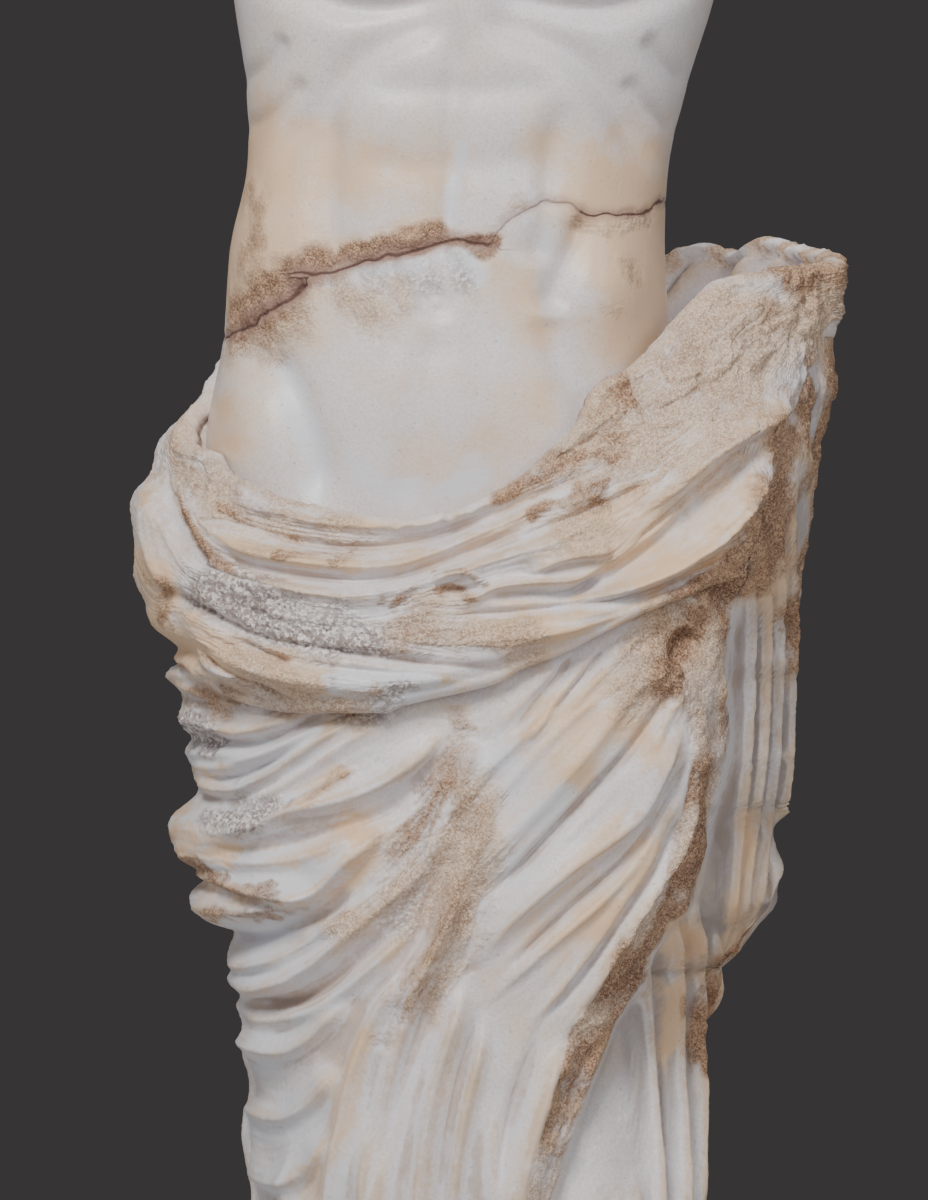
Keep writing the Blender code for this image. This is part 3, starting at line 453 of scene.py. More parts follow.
def stone_recipe():
    """The colours, grain and unevenness of the old marble, shared by every piece."""
    group = bpy.data.node_groups.new("old_marble", "ShaderNodeTree")
    sockets = [("Place", "INPUT", "Vector")]
    sockets += [(name, "INPUT", "Float") for name in (*MARKS, "Polish", "Dusting")]
    sockets += [("Color", "OUTPUT", "Color"), ("Roughness", "OUTPUT", "Float"), ("Height", "OUTPUT", "Float")]
    for name, way, kind in sockets:
        group.interface.new_socket(name, in_out=way, socket_type="NodeSocket" + kind)
    nodes, links = group.nodes, group.links
    given = nodes.new("NodeGroupInput")
    handed_on = nodes.new("NodeGroupOutput")
    ridge, streak = given.outputs["Ridge"], given.outputs["Streak"]

    def put(value, socket):
        """Joins a node's output to a socket, or sets the socket's own value."""
        if isinstance(value, bpy.types.NodeSocket):
            links.new(value, socket)
        elif socket.type == "RGBA":
            socket.default_value = (*value, 1)
        else:
            socket.default_value = value

    def math_node(kind, a, b=0.0, c=None, clamp=False):
        """Sum on values or outputs of nodes."""
        node = nodes.new("ShaderNodeMath")
        node.operation = kind
        node.use_clamp = clamp
        put(a, node.inputs[0])
        put(b, node.inputs[1])
        if c is not None:
            put(c, node.inputs[2])
        return node.outputs[0]

    def noise(scale, detail=3.0, roughness=0.55):
        """Clouds in the stone, from 0 to 1."""
        node = nodes.new("ShaderNodeTexNoise")
        put(given.outputs["Place"], node.inputs["Vector"])
        put(scale, node.inputs["Scale"])
        put(detail, node.inputs["Detail"])
        put(roughness, node.inputs["Roughness"])
        return node.outputs["Fac"]

    def with_pattern(value, pattern, amount, clamp=False):
        """The value raised and lowered by a pattern that runs from 0 to 1."""
        return math_node("MULTIPLY_ADD", math_node("SUBTRACT", pattern, 0.5), amount, value, clamp)

    def stain(colour, share, paint, most=1.0):
        """The colour with a paint laid over it where the share is high."""
        return blend(math_node("MULTIPLY", share, most), colour, paint)

    def step(value, low, high, to_low=0.0, to_high=1.0):
        """Smooth step of a value between two levels."""
        node = nodes.new("ShaderNodeMapRange")
        node.interpolation_type = "SMOOTHSTEP"
        put(value, node.inputs["Value"])
        put(low, node.inputs["From Min"])
        put(high, node.inputs["From Max"])
        put(to_low, node.inputs["To Min"])
        put(to_high, node.inputs["To Max"])
        return node.outputs["Result"]

    def blend(share, a, b):
        """Colour a, and colour b where the share is high."""
        node = nodes.new("ShaderNodeMix")
        node.data_type = "RGBA"
        put(share, node.inputs[0])
        put(a, node.inputs[6])
        put(b, node.inputs[7])
        return node.outputs[2]

    large = noise(7, 4)
    middle = noise(34, 5, 0.6)
    small = noise(150, 4, 0.65)
    fine = noise(520, 2, 0.6)
    flecks = noise(420, 3, 0.7)

    def crystals(scale):
        """Grains of the marble, each a little lighter or darker than the next."""
        node = nodes.new("ShaderNodeTexVoronoi")
        put(given.outputs["Place"], node.inputs["Vector"])
        put(scale, node.inputs["Scale"])
        return with_pattern(node.outputs["Color"], flecks, 1.2)

    glint = step(crystals(430), 0.25, 0.85)
    sand = with_pattern(step(crystals(980), 0.05, 1.05), middle, 1.6)

    def edged(mark, low, high, ragged):
        """A mark with a ragged border instead of a soft one."""
        spread = with_pattern(with_pattern(0.0, small, ragged * 0.4), middle, ragged)
        spread = math_node("MULTIPLY_ADD", streak, 0.55, spread)
        there = math_node("MULTIPLY", step(given.outputs[mark], 0.02, 0.25), spread)
        return step(math_node("ADD", given.outputs[mark], there), low, high)

    mood = math_node("MULTIPLY_ADD", ridge, 0.07, large)
    mood = math_node("MULTIPLY_ADD", streak, 0.2, mood)
    mood = with_pattern(mood, middle, 0.4)
    colour = blend(step(mood, 0.4, 0.78), (0.72, 0.68, 0.70), (0.74, 0.62, 0.52))
    colour = blend(step(noise(13, 3), 0.5, 0.75, 0.0, 0.4), colour, (0.7, 0.54, 0.45))
    colour = blend(step(fine, 0.35, 0.7, 0.0, 0.3), colour, (0.44, 0.37, 0.31))

    # A warm crust on crests, clean hollows, brown in the deepest hollows and streaks, painted shade behind
    # the break.
    spread = with_pattern(with_pattern(ridge, middle, 1.8), small, 1.4)
    spread = math_node("MULTIPLY_ADD", streak, 0.5, spread)
    crest = math_node("MULTIPLY", step(spread, 0.3, 1.3), given.outputs["Dusting"])
    colour = blend(crest, colour, (0.54, 0.365, 0.225))
    colour = stain(colour, step(ridge, -0.15, -0.8), (0.68, 0.66, 0.71), 0.5)
    # Darker brown in the deepest hollows and on the low sides of the streaks.
    dirt = math_node("MULTIPLY_ADD", streak, -0.5, math_node("MULTIPLY", ridge, -1))
    dirt = with_pattern(dirt, middle, 1.5)
    colour = stain(colour, step(dirt, 0.7, 1.3), (0.4, 0.27, 0.18), 0.6)
    # Painted shade on the hanging folds behind the broken edge, laid darkest into their hollows.
    colour = stain(colour, step(ridge, 0.35, -0.4, 0.12, 0.66), (0.2, 0.155, 0.135), given.outputs["Dust"])

    # The stains that were laid out on each piece; the blue mark also paints highlights on the skin and shade
    # on the right thigh.
    colour = stain(colour, edged("Warm", 0.0, 0.95, 0.9), (0.72, 0.485, 0.295), 0.85)
    # Blue: a cool white, partly the clean stone's own colour, partly painted highlights and painted shade.
    colour = stain(colour, edged("Blue", 0.2, 0.75, 1.3), (0.66, 0.68, 0.74), 0.85)
    grey = edged("Grey", 0.05, 0.9, 1.2)
    granular = blend(with_pattern(glint, middle, 1.4, clamp=True), (0.26, 0.2, 0.19), (0.82, 0.77, 0.75))
    colour = stain(colour, grey, granular, 0.85)
    tan = edged("Tan", 0.02, 1.1, 1.2)
    colour = stain(colour, tan, blend(sand, (0.38, 0.235, 0.15), (0.79, 0.62, 0.475)), 0.9)
    brown = edged("Brown", 0.08, 1.0, 1.3)
    colour = stain(colour, brown, blend(sand, (0.15, 0.07, 0.04), (0.58, 0.365, 0.225)), 0.9)
    specks = step(noise(240, 2, 0.7), 0.66, 0.74)
    colour = stain(colour, specks, (0.4, 0.3, 0.22), 0.35)

    # The mended break: a dark line with a stained border.
    off = math_node("MULTIPLY_ADD", given.outputs["Crack_side"], 9.0, with_pattern(0.0, small, 1.6))
    off = math_node("ABSOLUTE", off)
    halo = math_node("MULTIPLY", step(off, 8.0, 0.5), given.outputs["Crack"])
    colour = stain(colour, halo, (0.31, 0.185, 0.15), step(middle, 0.3, 0.6, 0.45, 0.95))
    gap = math_node("MULTIPLY", step(off, 1.3, 0.3), step(given.outputs["Crack"], 0.15, 0.9))
    colour = stain(colour, gap, (0.1, 0.05, 0.04), 0.95)
    put(colour, handed_on.inputs["Color"])

    worn = math_node("MAXIMUM", math_node("MAXIMUM", tan, brown), math_node("MAXIMUM", grey, gap))
    rough = with_pattern(given.outputs["Polish"], middle, 0.2)
    rough = math_node("MULTIPLY_ADD", worn, 0.4, rough, clamp=True)
    put(rough, handed_on.inputs["Roughness"])

    height = math_node("ADD", math_node("MULTIPLY", small, 0.5), math_node("MULTIPLY", fine, 0.6))
    height = math_node("MULTIPLY_ADD", glint, 0.4, height)
    height = math_node("MULTIPLY", height, math_node("MULTIPLY_ADD", worn, 2.4, 0.25))
    height = math_node("MULTIPLY_ADD", specks, -0.2, height)
    put(height, handed_on.inputs["Height"])
    return group


OLD_MARBLE = stone_recipe()


def marble(name, polish, dusting, glow):
    """Marble of one piece: how rough its surface is, and how dusty its raised folds are."""
    material = bpy.data.materials.new(name)
    material.use_nodes = True
    nodes, links = material.node_tree.nodes, material.node_tree.links
    shader = nodes["Principled BSDF"]
    recipe = nodes.new("ShaderNodeGroup")
    recipe.node_tree = OLD_MARBLE
    recipe.inputs["Polish"].default_value = polish
    recipe.inputs["Dusting"].default_value = dusting
    place = nodes.new("ShaderNodeTexCoord")
    links.new(place.outputs["Object"], recipe.inputs["Place"])
    for mark in MARKS:
        attribute = nodes.new("ShaderNodeAttribute")
        attribute.attribute_name = mark.lower()
        links.new(attribute.outputs["Fac"], recipe.inputs[mark])
    bump = nodes.new("ShaderNodeBump")
    bump.inputs["Strength"].default_value = 0.6
    bump.inputs["Distance"].default_value = 0.0018
    links.new(recipe.outputs["Height"], bump.inputs["Height"])
    links.new(bump.outputs["Normal"], shader.inputs["Normal"])
    links.new(recipe.outputs["Color"], shader.inputs["Base Color"])
    links.new(recipe.outputs["Roughness"], shader.inputs["Roughness"])
    shader.inputs["Specular IOR Level"].default_value = 0.45
    shader.inputs["Subsurface Weight"].default_value = glow
    shader.inputs["Subsurface Radius"].default_value = (1.0, 0.8, 0.6)
    shader.inputs["Subsurface Scale"].default_value = 0.004
    return material


bare_body.data.materials.append(marble("marble_bare_body", polish=0.36, dusting=0.25, glow=0.12))
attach(bare_body, "root")
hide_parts("draped_figure")

# The mantle
# The cloth is carved from the same block, drilled and chiselled into folds. It is a long
# mantle: a skirt that falls to the feet, and its upper edge twisted into a thick roll that
# sags from the right hip across the belly and is gathered high at the left hip.
HEM = 108
CLOTH_FOOT = 60
CLOTH_TOP = 1262
RELIEF_FORWARD = 0.75

# How far the roll's edges and its middle stand out, how far the skirt runs up under it, and the
# rows of the plain and the carved part of the skirt and of the roll.
ROLL_EDGE_OUT = 12
ROLL_MIDDLE_OUT = 14
UNDER_ROLL = 24
DETAIL_FOOT = 590.0
PLAIN_ROWS = 39
PLAIN_ROW_SHARE = 0.026
DETAIL_ROWS = 222
ROLL_ROWS = 132

# Outline seen from in front: height, and how far the cloth reaches from the middle.
OUTLINE_RIGHT_SIDE = [
    (60, 172), (200, 158), (300, 149), (430, 142), (500, 140), (560, 141), (600, 134), (640, 141),
    (672, 135), (700, 142), (720, 140), (729, 144), (737, 141), (747, 151), (755, 147), (762, 152),
    (779, 147), (786, 164), (799, 178), (809, 172), (815, 165), (832, 184), (847, 190), (858, 187),
    (876, 171), (887, 175), (894, 173), (900, 179), (910, 176), (925, 185), (937, 180), (955, 193),
    (966, 189), (996, 207), (1020, 211), (1050, 214), (1067, 214), (1078, 209), (1088, 204), (1110, 200),
    (1143, 180), (1163, 167), (1195, 152),
]
OUTLINE_LEFT_SIDE = [
    (60, 192), (200, 178), (300, 170), (400, 168), (500, 170), (600, 174), (690, 178), (752, 180),
    (757, 190), (766, 198), (780, 207), (792, 218), (800, 222), (848, 224), (860, 228), (870, 233),
    (944, 235), (960, 238), (977, 233), (1003, 237), (1043, 243), (1118, 252), (1137, 258),
    (1149, 261), (1160, 259), (1183, 263), (1203, 268), (1220, 270), (1233, 268), (1240, 262),
]
# Distance of the cloth from the upright axis, round the figure from behind its right side.
DRAPE_ANGLES = [-180, -150, -120, -90, -60, -30, 0, 30, 45, 60, 75, 90, 105, 118, 130, 150]
DRAPE = [
    (1250, [112, 118, 128, 142, 140, 120, 108, 120, 135, 165, 222, 258, 256, 236, 190, 136]),
    (1200, [115, 122, 138, 152, 146, 126, 112, 128, 146, 180, 232, 258, 254, 234, 190, 138]),
    (1150, [122, 132, 154, 170, 158, 134, 116, 136, 160, 204, 244, 254, 248, 228, 190, 142]),
    (1100, [128, 138, 166, 184, 170, 142, 122, 146, 182, 230, 246, 246, 246, 226, 190, 148]),
    (1050, [134, 145, 174, 190, 178, 150, 128, 156, 194, 232, 238, 240, 242, 224, 190, 150]),
    (1000, [138, 150, 174, 189, 178, 154, 134, 164, 198, 225, 232, 234, 237, 221, 188, 150]),
    (950, [138, 150, 172, 182, 174, 154, 138, 168, 200, 220, 228, 230, 234, 219, 186, 150]),
    (900, [134, 146, 166, 175, 168, 152, 140, 170, 198, 216, 222, 226, 233, 217, 184, 146]),
    (850, [128, 140, 160, 169, 163, 150, 140, 168, 190, 206, 212, 218, 226, 211, 180, 140]),
    (800, [122, 134, 154, 162, 157, 147, 140, 164, 182, 196, 204, 212, 222, 206, 174, 132]),
    (760, [118, 130, 148, 153, 151, 145, 140, 160, 172, 180, 186, 194, 198, 184, 160, 126]),
    (716, [114, 125, 142, 142, 144, 142, 138, 152, 158, 164, 172, 178, 182, 166, 146, 122]),
    (600, [108, 116, 130, 134, 135, 138, 140, 146, 148, 152, 162, 170, 168, 150, 130, 114]),
    (400, [110, 118, 130, 136, 134, 136, 138, 142, 142, 146, 156, 162, 162, 148, 132, 116]),
    (200, [126, 134, 146, 152, 144, 140, 138, 140, 142, 148, 160, 170, 172, 164, 150, 134]),
    (60, [142, 150, 160, 166, 154, 144, 140, 144, 150, 158, 172, 184, 186, 178, 164, 150]),
]
# The roll: its top and bottom edge by distance sideways, and round the hips by angle.
ROLL_TOP_FRONT = [
    (-168, 1103), (-157, 1092), (-140, 1083), (-113, 1071), (-70, 1062), (-33, 1057), (0, 1062),
    (20, 1070), (47, 1085), (63, 1095), (83, 1115), (93, 1127), (100, 1140), (110, 1150),
    (127, 1156), (148, 1175), (160, 1187), (180, 1207), (193, 1217), (207, 1220), (227, 1225),
    (240, 1231), (263, 1237),
]
ROLL_TOP_ROUND = [
    (-180, 1195), (-125, 1200), (-104, 1194), (-90, 1152), (-78, 1110), (78, 1226), (92, 1238),
    (98, 1242), (106, 1247), (114, 1254), (119, 1244), (124, 1251), (130, 1242), (137, 1260),
    (150, 1226), (180, 1195),
]
ROLL_BOTTOM_FRONT = [
    (-215, 968), (-190, 964), (-177, 957), (-150, 939), (-133, 933), (-107, 929), (-43, 929),
    (-33, 933), (-13, 938), (20, 945), (33, 949), (47, 957), (73, 967), (100, 981), (127, 994),
    (153, 1003), (180, 1013), (198, 1018), (213, 1057), (233, 1117), (262, 1180),
]
ROLL_BOTTOM_BACK = [(-215, 968), (-170, 964), (-100, 984), (0, 1005), (110, 1050), (200, 1110), (262, 1180)]
ROLL_THICKNESS = [(-215, 22), (-60, 27), (20, 26), (110, 20), (190, 13), (230, 7), (262, 4)]
POCKET_FLOOR = [(-180, 12), (30, 12), (46, 40), (60, 80), (90, 100), (152, 100), (168, 20), (180, 12)]
POCKET_PLEAT = 7.0
RIM_WALL = 20
LIP = 7.0

# Folds: height, reach above the line and below it, then points across the front.
ROLL_FOLDS = [
    (7, 5, 4, [(-157, 1072), (-113, 1061), (-73, 1053), (-33, 1051), (0, 1057), (33, 1070), (70, 1089)]),
    (-7, 4, 3.5, [(-137, 1051), (-100, 1041), (-60, 1037), (-20, 1042), (12, 1052), (40, 1066)]),
    (8, 6, 5, [(-163, 1055), (-125, 1035), (-73, 1027), (-40, 1026), (-13, 1033), (20, 1048), (47, 1062)]),
    (-7, 4, 4, [(-157, 1040), (-127, 1025), (-73, 1016), (-33, 1019), (20, 1038), (73, 1062)]),
    (8, 6, 5, [(-150, 1030), (-100, 1012), (-55, 1006), (-13, 1015), (20, 1027), (60, 1040), (93, 1055)]),
    (5, 3, 3, [(-11, 1017), (3, 1021), (19, 1018)]),
    (-6, 2.6, 2.6, [(-9, 1011), (7, 1010), (22, 1013)]),
    (6, 3, 4, [(-1, 1004), (13, 1005), (30, 1012), (53, 1015), (80, 1017), (102, 1029)]),
    (-8, 3, 6, [(16, 1006), (47, 1008), (80, 1009), (101, 1021)]),
    (8, 10, 2.6, [(48, 1021), (73, 1030), (106, 1034)]),
    (-7, 3.4, 4, [(-180, 1016), (-167, 1003), (-120, 979), (-87, 973), (-47, 967), (-7, 961), (45, 959)]),
    (-3.5, 2.4, 2.4, [(-93, 962), (-60, 958), (-33, 955), (2, 955)]),
    (5, 3, 3, [(-140, 985), (-117, 974), (-100, 969), (-92, 965)]),
    (-5, 3, 3, [(-133, 978), (-113, 969), (-96, 962)]),
    (6, 9, 8, [(-173, 997), (-153, 977), (-127, 960), (-93, 950), (-53, 943), (-13, 949), (22, 955)]),
    (-5.5, 3, 3, [(-157, 969), (-143, 958), (-125, 950), (-99, 938)]),
    (-4, 4, 4, [(-166, 964), (-152, 952), (-134, 941), (-113, 934), (-92, 931)]),
    (-5, 4, 4, [(-190, 1086), (-182, 1066), (-172, 1048), (-163, 1035), (-150, 1022)]),
    (-4, 3, 3, [(-192, 1078), (-179, 1059), (-165, 1040), (-151, 1027)]),
    (6, 7, 7, [(-200, 1092), (-198, 1070), (-193, 1043), (-185, 1023), (-170, 1002)]),
    (10, 15, 5.5, [(122, 1060), (140, 1074), (153, 1085), (180, 1105), (220, 1125), (232, 1138)]),
    (-11, 10, 7, [(56, 1004), (100, 1015), (133, 1035), (167, 1063), (197, 1090), (220, 1116)]),
    (-5, 3, 3, [(112, 1036), (140, 1057), (167, 1078), (197, 1100), (222, 1118)]),
    (11, 6, 6, [(70, 1001), (100, 1007), (133, 1019), (167, 1038), (190, 1058), (208, 1083), (221, 1107)]),
    (-7, 3, 4, [(-9, 993), (33, 995), (73, 999), (113, 1005), (147, 1015), (173, 1029), (197, 1044)]),
    (-4, 2, 2, [(110, 1000), (153, 1016), (196, 1039)]),
    (7, 8, 7, [(-9, 973), (33, 977), (73, 982), (113, 995), (153, 1008), (174, 1015)]),
    (5, 4, 3, [(31, 1051), (53, 1062), (73, 1066), (104, 1076)]),
    (-6, 3, 3, [(5, 1027), (33, 1038), (60, 1050), (87, 1061), (113, 1072), (142, 1088)]),
    (4.5, 3, 3, [(40, 1086), (73, 1107), (100, 1120), (112, 1130)]),
    (-4.5, 3, 3, [(50, 1082), (80, 1100), (105, 1113)]),
    (-4.5, 3, 3, [(18, 1049), (47, 1067), (73, 1078), (110, 1096)]),
    (-3, 5, 5, [(150, 1130), (185, 1150), (215, 1180)]),
    (3, 7, 6, [(160, 1165), (190, 1185), (220, 1205)]),
]
THIGH_FOLDS = [
    (7, 6, 4, [(-193, 956), (-180, 947), (-160, 939), (-130, 932)]),
    (8, 7, 4, [(-188, 926), (-170, 922), (-140, 915), (-120, 919), (-90, 928)]),
    (-5, 4, 4, [(-180, 909), (-153, 909), (-127, 909), (-100, 920), (-78, 930)]),
    (6, 6, 5, [(-182, 900), (-167, 893), (-147, 892), (-127, 899), (-100, 911), (-78, 924)]),
    (-4, 3, 3, [(-166, 884), (-143, 886), (-127, 892), (-98, 908)]),
    (8, 4, 3.5, [(-177, 887), (-160, 878), (-140, 877), (-127, 882), (-107, 894), (-80, 913), (-58, 926)]),
    (5, 5, 5, [(-142, 868), (-113, 877), (-93, 891), (-67, 909), (-40, 924)]),
    (10, 10, 5, [(-158, 847), (-133, 851), (-107, 862), (-73, 870), (-47, 880), (-20, 897), (2, 924)]),
    (4.5, 2.6, 2.6, [(-106, 861), (-87, 877), (-70, 887), (-62, 894)]),
    (-7, 6, 6, [(-170, 836), (-140, 837), (-100, 845), (-67, 855), (-40, 867), (-17, 890), (-2, 910)]),
    (4.5, 4, 6, [(-152, 828), (-107, 831), (-80, 839), (-55, 853)]),
    (13, 14, 3.4, [(-193, 846), (-180, 832), (-167, 822), (-147, 815), (-127, 810), (-100, 805),
                   (-83, 810), (-67, 827), (-50, 843), (-37, 862)]),
    (8, 7, 4, [(-180, 799), (-163, 793), (-147, 793), (-127, 796), (-100, 801), (-80, 810)]),
    (-7, 5, 5, [(-160, 779), (-133, 777), (-107, 787), (-80, 800), (-65, 815)]),
    (7, 6, 4, [(-154, 762), (-140, 757), (-120, 762), (-100, 771), (-77, 787), (-55, 805)]),
    (11, 9, 5, [(-153, 748), (-133, 742), (-113, 747), (-93, 758), (-70, 777), (-43, 800), (-20, 823),
                (-5, 854)]),
    (-8, 5, 6, [(-135, 735), (-107, 737), (-80, 750), (-60, 770), (-31, 792)]),
    (8, 8, 7, [(-14, 828), (-3, 857), (7, 883), (18, 916)]),
    (8, 8, 6, [(-145, 730), (-123, 723), (-93, 730), (-67, 747), (-40, 770), (-18, 792)]),
    (10, 8, 8, [(-35, 733), (-13, 763), (0, 793), (10, 823), (20, 853), (31, 886)]),
    (-6, 5, 5, [(-55, 735), (-33, 760), (-17, 787), (-10, 810), (1, 840)]),
]
PANEL_FOLDS = [
    (5, 4, 4, [(32, 918), (53, 943), (71, 962)]),
    (5, 4, 4, [(46, 905), (67, 933), (95, 969)]),
    (-4, 3, 3, [(39, 911), (63, 943), (84, 968)]),
    (5, 4, 4, [(72, 926), (93, 950), (113, 970), (128, 984)]),
    (-4, 3, 3, [(62, 925), (87, 953), (104, 972)]),
    (6, 5, 5, [(6, 868), (20, 887), (40, 907), (64, 930)]),
    (4, 4, 4, [(18, 861), (47, 893), (73, 920), (101, 944)]),
    (10, 14, 9, [(8, 814), (33, 843), (60, 873), (87, 903), (113, 937), (134, 958)]),
    (-10, 3, 5, [(18, 805), (47, 829), (70, 853), (100, 885), (120, 907), (137, 930), (151, 949)]),
    (13, 12, 6, [(11, 757), (40, 793), (73, 823), (100, 843), (123, 863), (140, 897), (155, 925)]),
    (5, 4, 4, [(126, 901), (143, 927), (158, 945)]),
    (-15, 7, 6, [(159, 986), (154, 975), (151, 960)]),
    (9, 13, 12, [(126, 974), (135, 960), (131, 944)]),
    (-9, 3, 5, [(31, 753), (60, 782), (87, 807), (113, 829), (130, 850), (145, 877), (161, 905)]),
    (7, 5, 4, [(18, 731), (47, 760), (77, 787), (100, 807), (123, 833), (140, 860), (154, 882)]),
    (-8, 3, 4, [(58, 723), (83, 753), (103, 780), (121, 807), (140, 837), (158, 869)]),
    (5, 4, 4, [(45, 718), (73, 747), (93, 773), (113, 803), (133, 830), (149, 855)]),
    (9, 5, 4, [(71, 714), (97, 753), (117, 787), (127, 800), (143, 823), (160, 857), (168, 880)]),
]
RUNNING_FOLDS = [
    (12, 9, 8, [(-24, 778), (-62, 690), (-84, 560)]),
    (11, 10, 9, [(10, 820), (-34, 700), (-56, 520)]),
    (-6, 5, 5, [(-4, 760), (-34, 680), (-60, 560)]),
    (13, 10, 8, [(14, 762), (-16, 650), (-26, 480)]),
    (-6, 4, 4, [(20, 740), (-2, 640), (-12, 500)]),
    (10, 8, 7, [(26, 740), (2, 620), (-2, 440)]),
    (11, 8, 7, [(76, 724), (42, 610), (30, 430)]),
    (-6, 4, 5, [(62, 730), (30, 620), (16, 460)]),
    (6, 8, 8, [(112, 752), (84, 650), (70, 520)]),
]
HANGING_FOLDS = [
    (9, 3, 3, [(200, 1060), (197, 950), (193, 880), (186, 810), (183, 752)]),
    (-5, 2.4, 2.4, [(204, 1050), (201, 950), (197, 880), (190, 810), (186, 758)]),
    (10, 3.4, 3.4, [(209, 1080), (206, 950), (202, 880), (194, 810), (189, 760)]),
    (-6, 2.4, 2.4, [(214, 1060), (211, 950), (207, 880), (199, 820), (194, 768)]),
    (10, 3.4, 3.4, [(220, 1090), (216, 950), (212, 880), (205, 820), (200, 772)]),
    (-6, 2.4, 2.4, [(225, 1060), (221, 950), (217, 880), (211, 830), (206, 782)]),
    (9, 3, 3, [(230, 1090), (226, 950), (222, 880), (217, 830), (212, 788)]),
    (-5, 2.2, 2.2, [(235, 1020), (231, 940), (227, 880), (222, 840)]),
    (9, 4, 4, [(149, 800), (150, 716), (144, 560)]),
    (-6, 3, 3, [(155, 800), (157, 716), (151, 560)]),
    (9, 4, 4, [(163, 805), (165, 716), (159, 560)]),
    (-6, 3, 3, [(169, 805), (171, 716), (165, 560)]),
    (8, 4, 4, [(175, 790), (177, 716), (172, 560)]),
    (9, 5, 5, [(126, 770), (128, 690), (124, 540)]),
    (-6, 3, 3, [(138, 780), (139, 700), (134, 550)]),
]
SWAGS = 5
SWAG_TOP = 706
SWAG_SPACING = 44
KNEE = (100, 598, 52, 84, 16)
SHIN_FOLDS = [
    (-128, -136, 7), (-104, -112, 9), (-76, -84, 10), (-52, -58, 13), (-22, -30, 15),
    (4, 0, 12), (30, 28, 13), (62, 70, 9), (112, 116, 9), (142, 148, 10),
]
SHIN_TOP = 610
BACK_SWAG = 46
BACK_PLEATS = 9

# The free edge of the front panel is broken off, and the hanging folds lie deeper behind it.
BREAK_OUTER = [
    (520, 40), (620, 66), (716, 103), (733, 115), (747, 127), (770, 137), (787, 147), (800, 159),
    (833, 168), (863, 177), (890, 184), (913, 186), (937, 183), (960, 183), (970, 185), (1007, 190),
    (1030, 203), (1057, 213), (1093, 227), (1125, 240),
]
BREAK_WIDTH = [(520, 14), (716, 27), (750, 31), (797, 34), (825, 26), (850, 24), (900, 27),
               (940, 32), (975, 37), (1010, 24), (1050, 16), (1125, 8)]
BREAK_DEPTH = [(520, 0), (620, 20), (716, 42), (800, 52), (930, 50), (980, 34), (1030, 13), (1080, 0)]
BREAK_LIP = 0.3
STROKE_STEP = 1.8
